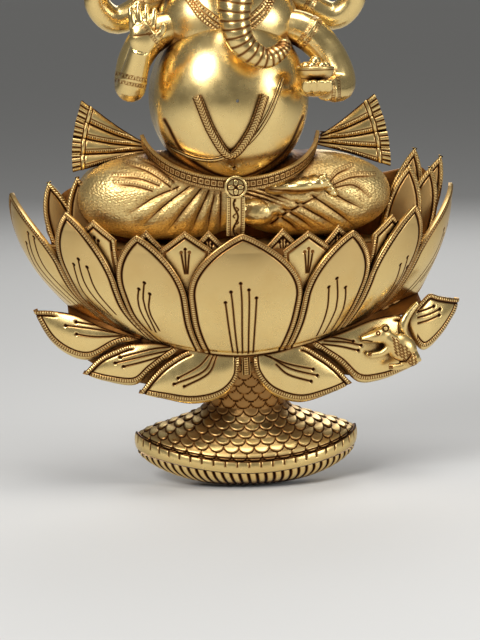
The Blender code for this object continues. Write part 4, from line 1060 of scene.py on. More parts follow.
def make_mouse():
    """The mouse in relief: haunch, head, snout, neck, forelegs, hind foot and round ear."""
    depth = -0.071
    parts = [
        blob((0.160, depth, 0.138), (0.0165, 0.0095, 0.0135), -35),
        blob((0.168, depth, 0.1275), (0.0105, 0.0098, 0.0088)),
        blob((0.1395, depth, 0.1520), (0.0108, 0.0084, 0.0084), 20),
        tube([(0.142, depth, 0.1520), (0.130, depth - 0.001, 0.1500), (0.1190, depth, 0.1480)],
             [0.0080, 0.0060, 0.0032]),
        tube([(0.144, depth, 0.1500), (0.150, depth - 0.001, 0.1455), (0.155, depth, 0.142)],
             [0.0075, 0.0080, 0.0090]),
        tube([(0.152, depth, 0.146), (0.1415, depth - 0.001, 0.1345), (0.1275, depth, 0.1312)],
             [0.0055, 0.0038, 0.0030]),
        tube([(0.1275, depth - 0.0015, 0.1312), (0.1245, depth - 0.002, 0.1345)], [0.0030, 0.0022]),
        tube([(0.168, depth, 0.1225), (0.156, depth - 0.0015, 0.1193), (0.1465, depth, 0.1195)],
             [0.0044, 0.0036, 0.0030]),
        blob((0.1425, depth - 0.0045, 0.1592), (0.0046, 0.0045, 0.0046)),
    ]
    body = Melted(parts, 0.0008, 2, clip_back=-0.0668)
    for row in range(6):
        for k in range(6):
            x = 0.1490 + 0.0042 * k + 0.0006 * row
            z = 0.1505 - 0.0037 * k - 0.0032 * row + 0.0016 * (k % 2)
            body.groove([(x, z), (x + 0.0026, z - 0.0030)], 0.40 * MM, 0.4 * MM, 0.75)
    body.groove(circle(0.1425, 0.1592, 0.0029), 0.5 * MM, 0.7 * MM)
    body.groove(circle(0.1352, 0.1545, 0.0017, 11), 0.45 * MM, 0.5 * MM)
    body.groove([(0.1185, 0.1470), (0.124, 0.1472), (0.129, 0.1462)], 0.45 * MM, 0.5 * MM)
    body.groove([(0.150, 0.1285), (0.156, 0.1245), (0.1625, 0.1255), (0.168, 0.132)], 0.6 * MM, 0.7 * MM)
    for k in range(3):
        for toe in ([(0.1262 + 0.0014 * k, 0.1362), (0.1255 + 0.0014 * k, 0.1318)],
                    [(0.1462, 0.1182 + 0.0013 * k), (0.1500, 0.1182 + 0.0011 * k)]):
            body.groove(toe, 0.35 * MM, 0.4 * MM, 0.8)
    body.cast("mouse_cast", CHASED, ["mouse"])


# ---------------------------------------------------------------- the seated figure
def placed(name):
    centre, axes = ROUNDED[name]
    return np.array(centre) + (FIGURE_X, 0, 0), np.array(axes)


def dome(name, around=360, rings=88, skirt=16, squareness=2.0):
    """Half an ellipsoid that faces forward, with a straight skirt back to the wall."""
    centre, axes = placed(name)
    turns = 2 * math.pi * np.arange(around) / around
    bulge = (np.abs(np.cos(turns)) ** squareness + np.abs(np.sin(turns)) ** squareness) ** (-1 / squareness)
    lean = math.pi / 2 * shares(rings, 0.012, 1.0)
    sizes = np.concatenate([np.sin(lean), np.ones(skirt)])
    front = centre[1] - axes[1] * np.cos(lean)
    depths = np.concatenate([front, centre[1] + (DOME_BACK - centre[1]) * shares(skirt)[1:]])
    x = centre[0] + axes[0] * sizes[:, None] * (np.cos(turns) * bulge)[None, :]
    z = centre[2] + axes[2] * sizes[:, None] * (np.sin(turns) * bulge)[None, :]
    points = np.dstack([x, np.repeat(depths[:, None], around, axis=1), z])
    return Skin(points, points - (centre + (0, 0.02, 0)), flat=np.dstack([x, z]), wrap=True)


def on_rounded(name, x, z, lift):
    """The front of a rounded casting at a given x and z, and the way it faces there."""
    centre, axes = placed(name)
    a = (x - centre[0]) / axes[0]
    c = (z - centre[2]) / axes[2]
    b = -math.sqrt(max(0.0, 1 - a * a - c * c))
    face = np.array((a / axes[0], b / axes[1], c / axes[2]))
    face /= np.linalg.norm(face)
    return np.array((x, centre[1] + b * axes[1], z)) + face * lift, face


def belt_curve(turns):
    """Where the belt runs, seen from the front (x, z)."""
    return np.stack([FIGURE_X + BELT_HALF_WIDTH * np.sin(turns),
                     BELT_LOW + BELT_RISE * (1 - np.cos(turns))], -1)


def cloth_leg(name, squareness):
    """A leg in hammered cloth, with painted shade under the belt."""
    leg = dome(name, 448, 112, 16, squareness)
    leg.hammer(0.20 * MM, 4.2 * MM, 0.22)
    belt = belt_curve(np.radians(shares(40, -84, 84)))
    # Painted shade on the leg just under the belt.
    leg.darken(0.75 * bell(distance_to(leg.flat, belt)[0], 9.0 * MM))
    return leg


def knee_folds(leg, lines):
    """Shallow folds over a knee, each with a row of beads above it."""
    for line in lines:
        leg.fold(spline(line, 12), 2.6 * MM, 1.2 * MM, 0.8, 0.8 * MM)
        leg.beads(spline(line, 24) + (0, 0.0026), 2.6 * MM, 1.0 * MM, 0.7 * MM, 0.6)


def make_legs():
    """Both folded legs, with the pleats of their cloth."""
    left = cloth_leg("left_leg", 2.25)
    pleats = [
        [(-0.062, 0.3075), (-0.0855, 0.2976), (-0.1105, 0.2815)],
        [(-0.051, 0.3075), (-0.073, 0.2914), (-0.0955, 0.2705)],
        [(-0.0395, 0.3045), (-0.0563, 0.284), (-0.0715, 0.2635)],
        [(-0.031, 0.3025), (-0.0414, 0.2803), (-0.049, 0.2610)],
        [(-0.0245, 0.301), (-0.0295, 0.2805), (-0.033, 0.260)],
        [(-0.0187, 0.300), (-0.0192, 0.2800), (-0.0195, 0.260)],
    ]
    for line in pleats:
        left.fold(spline(line, 12), 4.0 * MM, 3.4 * MM)
    knee_folds(left, ([(-0.070, 0.3075), (-0.0908, 0.3221), (-0.112, 0.3283)],
                      [(-0.081, 0.3085), (-0.1009, 0.3158), (-0.1247, 0.3166)],
                      [(-0.066, 0.312), (-0.083, 0.3265), (-0.0985, 0.3325)],
                      [(-0.088, 0.3035), (-0.106, 0.3085), (-0.124, 0.3095)]))
    left.cast("left_leg_cast", 0.0038, CLOTH, ["left_leg"])

    right = cloth_leg("right_leg", 2.2)
    for line in ([(0.0530, 0.2878), (0.0689, 0.2774), (0.0945, 0.2620)],
                 [(0.0697, 0.2944), (0.0920, 0.2776), (0.1142, 0.2605)],
                 [(0.0406, 0.2809), (0.0556, 0.2714), (0.0715, 0.2600)],
                 [(0.0342, 0.2747), (0.0464, 0.2662), (0.0586, 0.2565)],
                 [(0.0868, 0.2997), (0.1019, 0.2893), (0.1201, 0.2795)]):
        right.fold(spline(line, 12), 3.4 * MM, 2.8 * MM)
    for line in ([(0.0460, 0.2845), (0.0620, 0.2745), (0.0820, 0.2615)],
                 [(0.0375, 0.2780), (0.0510, 0.2690), (0.0650, 0.2585)]):
        right.groove(spline(line, 12), 0.5 * MM, 0.4 * MM, 0.45)
    knee_folds(right, ([(0.0851, 0.3055), (0.0963, 0.3155), (0.1119, 0.3202)],
                       [(0.0870, 0.3035), (0.1104, 0.3111), (0.1358, 0.3103)],
                       [(0.0889, 0.3015), (0.1117, 0.3034), (0.1285, 0.2897)]))
    # The shin's cloth is wrapped in bands from the medallion down to the right.
    shin = [(0.004, 0.3060), (0.028, 0.2985), (0.0520, 0.2885)]
    for drop, reach in ((0.0, 1.0), (4.6, 0.92), (9.0, 0.80)):
        line = spline(shin, 16)[:int(17 * reach)] - (0.0, drop * MM)
        right.fold(line, 1.8 * MM, 1.3 * MM, 0.9, 0.9 * MM)
        right.beads(line - (0, 2.3 * MM), 2.2 * MM, 0.8 * MM, 0.45 * MM, 0.3)
    crease = spline([(0.030, 0.2655), (0.043, 0.2760), (0.058, 0.2850), (0.078, 0.2965)], 12)
    right.fold(crease, 2.4 * MM, 1.8 * MM, 0.95, 1.1 * MM)
    right.cast("right_leg_cast", 0.0038, CLOTH, ["right_leg"])


def make_feet():
    """The heel tucked under the right leg, and the sole of the foot crossed over it."""
    centre, axes = placed("tucked_heel")
    heel = Melted([
        blob(centre + (-0.004, 0.003, 0.0), axes * (0.90, 0.85, 0.92), -6),
        blob(centre + (0.013, 0.004, 0.0035), axes * (0.62, 0.70, 0.55), 10),
    ], 0.0012, 4)
    heel.hammer(0.15 * MM, 6.0 * MM, 0.15)
    gap = distance_to(heel.flat, spline([(0.003, 0.2665), (0.018, 0.2635), (0.036, 0.2655)], 10))[0]
    # Painted shade along the heel's lower edge, where it sits on the parts below.
    heel.darken(0.85 * bell(gap, 2.6 * MM))
    heel.cast("tucked_heel_cast", CHASED, [])

    centre, axes = placed("crossed_foot")
    sole = [
        blob(centre + (-0.018, 0.001, -0.0010), (0.0160, 0.0155, 0.0078), 10),
        blob(centre + (0.001, -0.001, 0.0000), (0.0210, 0.0165, 0.0092), 6),
        blob(centre + (0.017, -0.001, 0.0020), (0.0130, 0.0160, 0.0095), 0),
    ]
    sole += [blob(centre + (0.0215 + 0.0028 * k, -0.0120 + 0.0018 * k, 0.0090 - 0.0042 * k),
                  (0.0058, 0.0056, 0.0027 + 0.0003 * k), 24 - 10 * k) for k in range(5)]
    foot = Melted(sole, 0.0009, 3)
    arch = centre[[0, 2]] + np.array([(-0.030, -0.0025), (0.0, -0.0050), (0.030, -0.0030)])
    foot.fold(spline(arch, 12), 1.6 * MM, 0.6 * MM, 0.7, 1.0 * MM)
    foot.cast("crossed_foot_cast", POLISHED, ["crossed_foot"])


def make_belly():
    """The belly with its navel, and the chest with its beaded collar."""
    belly = dome("belly", 360, 96, 12)
    navel = (FIGURE_X - 0.002, 0.3245)
    from_navel = np.linalg.norm((belly.flat - navel) * (0.62, 1), axis=1)
    belly.height += 0.7 * MM * bell(from_navel - 2.2 * MM, 1.1 * MM)
    belly.dot(navel, 1.4 * MM, 1.6 * MM)
    under = distance_to(belly.flat, spline([(-0.074, 0.372), (-0.052, 0.335), (FIGURE_X, 0.3135),
                                            (0.040, 0.335), (0.062, 0.372)], 20))[0]
    # Painted shade along the belly's lower edge, where it overhangs the belt.
    belly.darken(0.85 * bell(under, 1.6 * MM))
    belly.cast("belly_cast", 0.0038, POLISHED, ["belly"])

    chest = dome("chest", 320, 72, 12)
    collar = [(-0.050, 0.500), (-0.034, 0.478), (FIGURE_X, 0.462), (0.022, 0.478), (0.038, 0.500)]
    for drop, half in ((0.0, 1.4), (0.006, 1.0), (0.011, 1.0)):
        chest.beads(spline(collar, 40) - (0, drop), 3.2 * MM, half * MM, 1.0 * MM, 0.8)
    for outer, inner in ((-0.062, -0.036), (0.050, 0.024)):
        breast = spline([(outer, 0.450), (inner, 0.436), (FIGURE_X, 0.446)], 10)
        chest.fold(breast, 4 * MM, 1.6 * MM, 0.4, 1.4 * MM)
    chest.cast("chest_cast", 0.0038, POLISHED, ["chest"])


def strap(route, faces, width, across=16):
    """A grid over a strap that follows a route, with its lengths along and across it."""
    route = np.array(route, float)
    faces = np.array(faces, float)
    ahead = np.gradient(route, axis=0)
    ahead /= np.linalg.norm(ahead, axis=1, keepdims=True)
    side = np.cross(ahead, faces)
    side /= np.linalg.norm(side, axis=1, keepdims=True)
    spread = shares(across, -0.5, 0.5) * width
    points = route[:, None, :] + side[:, None, :] * spread[None, :, None]
    flat = np.dstack(np.meshgrid(walked(route), spread, indexing="ij"))
    return Skin(points, faces[:, None, :], flat=flat)


def make_belt():
    """A row of square links between two beaded edges."""
    turns = np.radians(shares(320, -84, 84))
    x, z = belt_curve(turns).T
    route = np.stack([x, -0.034 - 0.072 * np.cos(turns), z], -1)
    faces = np.stack([np.sin(turns), -np.cos(turns), np.full(len(turns), -0.25)], -1)
    faces /= np.linalg.norm(faces, axis=1, keepdims=True)
    belt = strap(route + faces * 2.8 * MM, faces, 12.0 * MM, 24)
    along, across = belt.flat.T
    pitch = 6.4 * MM
    link = (along / pitch) % 1 - 0.5
    frame_gap = np.maximum(np.abs(link) * pitch, np.abs(across))
    belt.height += 0.5 * MM * bell(frame_gap - 2.0 * MM, 0.6 * MM)
    belt.darken(0.85 * step(np.abs(link), 0.36, 0.46) * (np.abs(across) < 3.4 * MM))
    belt.darken(0.8 * bell(frame_gap - 0.9 * MM, 0.5 * MM))
    belt.beaded_edges(4.8 * MM, 0.8 * MM, 0.8, 0.72)
    lit = np.maximum(bell(frame_gap - 2.0 * MM, 0.7 * MM), bell(frame_gap, 0.8 * MM))
    belt.darken(0.85 * step(-np.abs(across), -4.3 * MM, -3.7 * MM) * (1 - 0.8 * lit))
    belt.darken(0.12)
    belt.cast("waist_belt_cast", 0.0032, CHASED, ["waist_belt"])


def make_medallion():
    """A four-petalled flower in a ring, at the middle of the belt."""
    centre = (FIGURE_X - 0.003, -0.1132, 0.307)
    radius = 11.2 * MM
    spin = 2 * math.pi * np.arange(160) / 160
    reach = shares(40, 0.0002, radius)
    x = reach[:, None] * np.cos(spin)[None, :]
    z = reach[:, None] * np.sin(spin)[None, :]
    y = 0.0006 * (reach[:, None] / radius) ** 2 + 0 * x
    disc = Skin(np.dstack([x, y, z]) + centre, (0, -1, 0), flat=np.dstack([x, z]), wrap=True)
    distance = np.linalg.norm(disc.flat, axis=1)
    disc.height += 0.7 * MM * step(distance, 8.6 * MM, 9.4 * MM)
    disc.darken(bell(distance - 8.3 * MM, 0.6 * MM))
    disc.round_edge(radius - distance, 1.2 * MM)
    for quarter in range(4):
        turn = math.pi / 2 * quarter
        out = np.array((math.sin(turn), math.cos(turn)))
        local = disc.flat - 4.6 * MM * out
        tall = local @ out
        wide = local @ np.array((math.cos(turn), -math.sin(turn)))
        oval = np.hypot(tall / 3.3, wide / 2.2) / MM
        disc.height += 0.6 * MM * (1 - step(oval, 0.6, 1.1))
        disc.darken(0.95 * bell((oval - 1.05) * 2.4 * MM, 0.55 * MM))
    disc.dot((0, 0), 1.0 * MM, -0.5 * MM)
    disc.cast("belt_medallion", 0.004, POLISHED, [])


def make_sash():
    """The hanging sash end: a vine scroll between beaded edges."""
    drop = spline([(FIGURE_X - 0.003, -y, z) for y, z in
                   ((0.1122, 0.297), (0.1098, 0.283), (0.1068, 0.271), (0.1035, 0.2590))], 72)
    sash = strap(drop, np.repeat([[0.0, -1.0, 0.25]], len(drop), axis=0), 17.5 * MM, 32)
    sash.beaded_edges(6.9 * MM, 0.7 * MM, 0.7, 0.76)
    wave = 4.2 * MM
    places = shares(60, 0, sash.flat[:, 0].max())
    vine = np.stack([places, 2.2 * MM * np.sin(places / wave)], -1)
    sash.groove(vine, 0.6 * MM, 0.6 * MM, 0.95)
    for k in range(7):
        at = (k + 0.5) * math.pi / 2 * wave
        side = -1 if k % 2 else 1
        leaf = [(at, side * 0.4 * MM), (at + 2.2 * MM, side * 2.6 * MM), (at + 4.0 * MM, side * 1.2 * MM)]
        sash.groove(spline(leaf, 6), 0.45 * MM, 0.4 * MM, 0.85)
    sash.cast("waist_sash_cast", 0.0032, CHASED, ["waist_sash"])


def belly_strap(points, lift, width):
    """A strap laid over the belly along points seen from the front."""
    places, faces = zip(*[on_rounded("belly", x, z, lift) for x, z in spline(points, 160)])
    return strap(places, faces, width)


def make_thread_and_garland():
    thread = belly_strap([(-0.067, 0.344), (-0.045, 0.3345), (-0.022, 0.334), (0.004, 0.349),
                          (0.024, 0.375), (0.040, 0.410)], 1.9 * MM, 6.0 * MM)
    across = thread.flat[:, 1]
    thread.height -= 1.1 * MM * (1 - bell(across, 2.4 * MM))
    for side in (-1.6 * MM, 1.6 * MM):
        thread.cut(across - side, 0.5 * MM, 0.6 * MM, 0.55 * MM, 0.95)
    thread.cast("sacred_thread_cast", 0.0016, POLISHED, ["sacred_thread"])

    garland = belly_strap([(-0.044, 0.395), (-0.030, 0.360), (-0.0125, 0.3385), (0.006, 0.360),
                           (0.020, 0.395)], 4.0 * MM, 9.0 * MM)
    along, across = garland.flat.T
    slanted = ripple(along + 0.9 * np.abs(across), 3.0 * MM)
    garland.height += 0.6 * MM * slanted - 0.9 * MM * (1 - bell(across, 3.6 * MM))
    garland.darken(0.85 * (1 - slanted) ** 2)
    garland.darken(0.9 * bell(np.abs(across) - 3.6 * MM, 0.7 * MM))
    garland.cast("garland_cast", 0.0022, CHASED, ["garland"])


# Lower and upper edges of the scarf ends, from the waist outwards (x, z).
SCARVES = {
    "scarf_left": ([(-0.086, 0.336), (-0.125, 0.3275), (-0.1615, 0.3180)],
                   [(-0.094, 0.3490), (-0.118, 0.3650), (-0.1505, 0.3905)]),
    "scarf_right": ([(0.084, 0.340), (0.120, 0.3295), (0.1585, 0.3160)],
                    [(0.090, 0.3520), (0.110, 0.3650), (0.1425, 0.3905)]),
}


def make_scarf(name, lower, upper):
    """A fan of pleats with beaded edges, a double border and a fringe of short bars."""
    pleats, length = 4, 0.085
    low, high = spline(lower, 128), spline(upper, 128)
    out = shares(128)[:, None]
    across = shares(144)[None, :]
    x, z = (low[:, None, k] + (high - low)[:, None, k] * across for k in (0, 1))
    x = x + math.copysign(0.018, lower[-1][0]) * out ** 2 * across * (1 - across)
    phase = (across * pleats) % 1
    depth = 0.0265 - 0.0010 * (1 - out)
    y = -depth + 0.0030 * (1 - np.sin(math.pi * phase) ** 0.7) * np.sqrt(out)
    skin = Skin(np.dstack([x, y, z]), (0, -1, 0), flat=np.dstack([x, z]))
    flip = skin.points[0, 0, 2] > skin.points[0, -1, 2]
    share_out = np.repeat(out, 145, axis=1).reshape(-1)
    share_across = np.repeat(across, 129, axis=0)
    share_across = (share_across[:, ::-1] if flip else share_across).reshape(-1)
    phase = (share_across * pleats) % 1
    width = (0.013 + 0.060 * share_out) / pleats
    edge_gap = np.minimum(phase, 1 - phase) * width
    bead_gap = (phase * width) - 3.0 * MM
    run = share_out * length
    wave = ripple(run, BEAD_PITCH)
    body = 1 - step(share_out, 0.82, 0.84)
    skin.darken(bell(edge_gap, 1.3 * MM) * body)
    bead = bell(bead_gap, 1.5 * MM) * body * step(share_out, 0.10, 0.25)
    skin.height += 0.9 * MM * bead * wave
    skin.darken(0.7 * bead * (1 - wave) ** 1.5)
    skin.darken(0.75 * bell(bead_gap - 2.4 * MM, 0.7 * MM) * body * step(share_out, 0.2, 0.4))
    for border in (0.835, 0.885):
        skin.cut(run - border * length, 0.5 * MM, 0.7 * MM, 0.7 * MM)
    bars = step(share_out, 0.89, 0.90) * ripple(share_across * pleats, 1 / 3.5) ** 2
    skin.height -= 0.8 * MM * bars
    skin.darken(0.9 * bars)
    skin.cast(name + "_cast", 0.0045, CHASED, [name])


# ---------------------------------------------------------------- arms, head and attributes
def shift(points):
    return [(x + FIGURE_X, y, z) for x, y, z in points]


def fingers(palm, spread, length, radius):
    """Four jointed fingers that rise from a palm."""
    meshes = []
    for k in range(4):
        start = palm + (spread * (k - 1.5), 0, 0)
        reach = length * (0.92, 1.06, 1.0, 0.84)[k]
        end = start + (spread * 0.25 * (k - 1.5), 0.001, reach)
        meshes.append(tube([start, (start + end) / 2 - (0, 0.0012, 0), end],
                           [radius, radius * 0.95, radius * 0.72], 10, 12))
    return meshes


def wrap_rings(skin, route, stations, radius):
    """Beaded bracelets across a limb, at shares of its route as seen from the front."""
    line = spline(route, 40)[:, [0, 2]]
    for share in stations:
        k = int(share * 39)
        way = line[k + 1] - line[k]
        way = way / np.linalg.norm(way)
        normal = np.array((-way[1], way[0]))
        band = [line[k] - normal * radius, line[k] + normal * radius]
        skin.ridge(band, 2.2 * MM, 1.0 * MM)
        for side in (-1, 1):
            skin.beads([p + way * side * 3.2 * MM for p in band], 2.6 * MM, 0.9 * MM, 0.8 * MM, 0.7)


UPPER_ARM = [0.016, 0.0178, 0.0165, 0.0150, 0.0105]


def make_arms():
    """The blessing arm, the arm that holds the bowl, and the two raised arms with closed fists."""
    route = shift([(-0.042, -0.050, 0.462), (-0.074, -0.056, 0.455), (-0.094, -0.062, 0.430),
                   (-0.100, -0.078, 0.404), (-0.091, -0.104, 0.442)])
    palm = np.array((FIGURE_X - 0.089, -0.107, 0.452))
    parts = [
        tube(route, UPPER_ARM, 28, 20),
        blob(palm, (0.0135, 0.0068, 0.016)),
        tube(palm + np.array([(0.009, 0, -0.004), (0.018, -0.002, 0.006), (0.020, -0.003, 0.014)]),
             [0.0042, 0.0038, 0.0030], 10, 12),
    ]
    parts += fingers(palm + (0, 0.001, 0.008), 0.0063, 0.024, 0.0035)
    arm = Melted(parts, 0.0012, 3)
    wrap_rings(arm, route, (0.30, 0.86), 0.017)
    arm.groove(palm[[0, 2]] + np.array([(-0.009, 0.002), (0.008, 0.004)]), 0.6 * MM, 0.5 * MM, 0.7)
    arm.cast("blessing_arm_cast", POLISHED, ["blessing_arm"])

    route = shift([(0.042, -0.050, 0.462), (0.074, -0.056, 0.455), (0.098, -0.062, 0.430),
                   (0.106, -0.076, 0.402), (0.086, -0.100, 0.398)])
    palm = np.array((FIGURE_X + 0.076, -0.112, 0.398))
    parts = [tube(route, UPPER_ARM, 28, 20), blob(palm, (0.016, 0.014, 0.006))]
    for x, reach in ((-0.012, 0.0), (-0.004, 0.001), (0.004, 0.001), (0.0105, 0.0)):
        finger = palm + np.array([(x * 0.6, -0.008, 0), (x, -0.0165, 0.003), (x, -0.0195 - reach, 0.011)])
        parts.append(tube(finger, [0.0042, 0.0040, 0.0032], 10, 12))
    arm = Melted(parts, 0.0012, 3)
    wrap_rings(arm, route, (0.30, 0.90), 0.017)
    arm.cast("bowl_arm_cast", POLISHED, ["bowl_arm"])

    for side, name in ((-1, "goad_arm"), (1, "noose_arm")):
        route = shift([(side * x, y, z) for x, y, z in (
            (0.040, -0.020, 0.486), (0.072, -0.0195, 0.484), (0.108, -0.021, 0.468),
            (0.128, -0.028, 0.486), (0.122, -0.036, 0.512))])
        fist = np.array((FIGURE_X + side * 0.121, -0.038, 0.526))
        parts = [tube(route, [0.012, 0.0140, 0.0140, 0.0125, 0.0100], 28, 18),
                 blob(fist, (0.0125, 0.0095, 0.012))]
        for k in range(4):
            knuckle = fist + (-0.004, -0.0085, 0.0085 - 0.0056 * k)
            parts.append(tube([knuckle + (-0.006, 0.003, 0), knuckle, knuckle + (0.007, 0.0015, 0)],
                              [0.0030, 0.0033, 0.0031], 8, 12))
        arm = Melted(parts, 0.0012, 2)
        wrap_rings(arm, route, (0.35, 0.92), 0.014)
        arm.cast(name + "_cast", POLISHED, [name])


def lathe(profile, centre, around):
    """A turned casting from a smooth profile of radius and height."""
    line = np.array(profile, float)
    turns = 2 * math.pi * np.arange(around) / around
    x = centre[0] + line[:, :1] * np.cos(turns)
    y = centre[1] + line[:, :1] * np.sin(turns)
    z = np.repeat(line[:, 1:], around, axis=1)
    points = np.dstack([x, y, z])
    flat = np.dstack([turns * line[:, :1].max() + 0 * z, z])
    return Skin(points, points - (*centre, line[:, 1].mean()), flat=flat, wrap=True)


def make_held_things():
    palm = (FIGURE_X + 0.076, -0.113)
    profile = spline([(0.0003, 0.4068), (0.009, 0.4073), (0.0162, 0.413), (0.0183, 0.4205),
                      (0.0165, 0.4215), (0.0150, 0.4180), (0.0003, 0.4175)], 60)
    bowl = lathe(profile, palm, 112)
    for height in (0.4105, 0.4185):
        bowl.darken(0.8 * bell(bowl.flat[:, 1] - height, 0.5 * MM))
    bowl.cast("sweets_bowl_cast", 0.0006, CHASED, ["sweets_bowl"], coarse=4)
    parts = [blob((x, y, 0.4215), (0.0050, 0.0050, 0.0048)) for x, y in circle(*palm, 0.0098, 7)[:-1]]
    parts.append(blob((*palm, 0.4265), (0.0056, 0.0056, 0.0054)))
    Melted(parts, 0.0009, 1).cast("sweets", POLISHED, [], front_only=False)

    for side, name in ((-1, "goad"), (1, "noose")):
        x, y = FIGURE_X + side * 0.121 - 0.006, -0.039
        low = 0.492 if side < 0 else 0.498
        parts = [tube([(x, y, low), (x, y, 0.530), (x, y, 0.566)], [0.0040, 0.0038, 0.0038], 8, 16),
                 blob((x, y, low + 0.003), (0.0052, 0.0052, 0.0036)),
                 blob((x, y, 0.556), (0.0056, 0.0056, 0.0030))]
        if name == "goad":
            point = [(x, y, 0.560), (x - 0.001, y, 0.580), (x, y, 0.599)]
            hook = [(x, y, 0.566), (x - 0.015, y, 0.574), (x - 0.020, y, 0.562), (x - 0.014, y, 0.552)]
            parts += [tube(point, [0.006, 0.0055, 0.0013], 14, 16),
                      tube(hook, [0.0045, 0.004, 0.0035, 0.0013], 20, 14)]
        else:
            turns = np.radians(np.arange(0, 361, 30))
            loop = np.stack([x + 0.013 * np.sin(turns), 0 * turns + y, 0.579 - 0.017 * np.cos(turns)], -1)
            parts.append(tube(loop, [0.0037] * len(loop), 60, 14))
        Melted(parts, 0.0010, 2).cast(name + "_cast", POLISHED, [name])


def make_head():
    """The head and trunk melted into one, with rings across the trunk and lines round the eyes."""
    route = shift([(0.0, -0.095, 0.522), (0.0, -0.1165, 0.500), (-0.003, -0.127, 0.470),
                   (0.004, -0.132, 0.445), (0.024, -0.133, 0.431), (0.041, -0.129, 0.438),
                   (0.0455, -0.1255, 0.447)])
    centre, axes = placed("head")
    parts = [
        blob(centre, axes * 0.97),
        blob(centre + (0.0, -0.034, -0.030), (0.014, 0.014, 0.010)),
        tube(route, [0.0208, 0.0185, 0.0152, 0.0128, 0.0103, 0.0082, 0.0060], 40, 24),
    ]
    for side in (-1, 1):
        parts += [blob(centre + (side * 0.017, -0.024, 0.016), (0.021, 0.024, 0.019)),
                  blob(centre + (side * 0.020, -0.028, -0.016), (0.018, 0.018, 0.017))]
    head = Melted(parts, 0.0013, 4, clip_back=DOME_BACK)
    line = spline(route, 64)[:, [0, 2]]
    half = np.interp(shares(64), shares(6), [0.019, 0.017, 0.0145, 0.012, 0.0095, 0.0075, 0.0055])
    on_trunk = head.points[:, 1] < -0.112
    for k in range(16, 62, 3):
        way = line[k + 1] - line[k - 1]
        way = way / np.linalg.norm(way)
        normal = np.array((-way[1], way[0]))
        arc = [line[k] + normal * half[k] * s + way * 1.5 * MM * (1 - s * s) for s in np.linspace(-1, 1, 7)]
        height, patina_and_shade = head.height.copy(), head.patina_and_shade.copy()
        head.groove(arc, 0.8 * MM, 0.6 * MM, 0.65)
        head.height = np.where(on_trunk, head.height, height)
        head.patina_and_shade = np.where(on_trunk, head.patina_and_shade, patina_and_shade)
    for side in (-1, 1):
        eye = np.array((centre[0] + side * 0.0225, centre[2] + 0.0015))
        lid = spline([eye + (-0.0065, 0.0), eye + (0.0, 0.0036), eye + (0.0065, 0.0002)], 10)
        low = spline([eye + (-0.0065, 0.0), eye + (0.0, -0.0030), eye + (0.0065, 0.0002)], 10)
        head.ridge([eye + (-0.002, 0), eye + (0.002, 0)], 3.0 * MM, 1.4 * MM)
        head.groove(lid, 0.7 * MM, 0.7 * MM)
        head.groove(low, 0.6 * MM, 0.5 * MM, 0.85)
        head.groove(spline(lid + (0, 0.0026), 8), 0.6 * MM, 0.4 * MM, 0.6)
        head.dot(eye, 1.3 * MM, 0.4 * MM)
    for drop in (0.0, 0.0042, 0.0084):
        brow = centre[[0, 2]] - (0, drop) + np.array([(-0.013, 0.020), (0.0, 0.0182), (0.013, 0.020)])
        head.groove(spline(brow, 8), 0.7 * MM, 0.5 * MM, 0.8)
    head.cast("head_cast", POLISHED, ["head"])


def make_ears():
    outline = [(0.042, 0.546), (0.064, 0.561), (0.086, 0.554), (0.097, 0.530), (0.090, 0.504),
               (0.074, 0.487), (0.057, 0.491), (0.044, 0.507), (0.040, 0.527)]
    for side, name in ((-1, "left_ear"), (1, "right_ear")):
        rim = spline([*outline, outline[0]], 240)[:-1]
        heart = np.array((0.060, 0.526))
        reach = shares(64, 0.01, 1.0)[:, None, None]
        flat = heart + (rim - heart)[None, :, :] * reach
        x, z = FIGURE_X + side * flat[..., 0], flat[..., 1]
        size = reach[:, :, 0] + 0 * x
        y = -0.0570 - 0.0025 * np.sin(math.pi * size) + 0.0015 * size ** 4
        ear = Skin(np.dstack([x, y, z]), (0, -1, 0), flat=np.dstack([x, z]), wrap=True)
        edge = np.stack([FIGURE_X + side * rim[:, 0], rim[:, 1]], -1)
        gap = distance_to(ear.flat, np.vstack([edge[::3], edge[:1]]))[0]
        ear.height += 0.9 * MM * bell(gap - 2.2 * MM, 1.4 * MM)
        ear.darken(0.9 * bell(gap - 4.6 * MM, 0.8 * MM))
        ear.round_edge(gap, 1.2 * MM)
        for k in range(5):
            tip = np.array((0.088 - 0.006 * k, 0.545 - 0.0125 * k))
            bend = np.array((0.072 - 0.002 * k, 0.538 - 0.008 * k))
            start = np.array((0.054, 0.529 - 0.003 * k))
            vein = np.array([start, bend, tip]) * (side, 1) + (FIGURE_X, 0)
            ear.fold(spline(vein, 10), 2.2 * MM, 0.9 * MM, 0.6, 0.8 * MM)
        ear.cast(name + "_cast", 0.0045, POLISHED, [name])


def make_tusks():
    for side, name, length in ((-1, "whole_tusk", 0.026), (1, "broken_tusk", 0.013)):
        start = np.array((FIGURE_X + side * 0.026, -0.090, 0.5105))
        way = np.array((side * 0.25, -0.75, -0.45))
        way = way / np.linalg.norm(way)
        end = start + way * (0.010 + length)
        parts = [tube([start, start + way * 0.5 * length - (0, 0, 0.0008), end],
                      [0.0052, 0.0045, 0.0016 if side < 0 else 0.0040], 16, 16),
                 blob(start + way * 0.007, (0.0064, 0.0054, 0.0058))]
        Melted(parts, 0.0009, 2).cast(name + "_cast", POLISHED, [name])


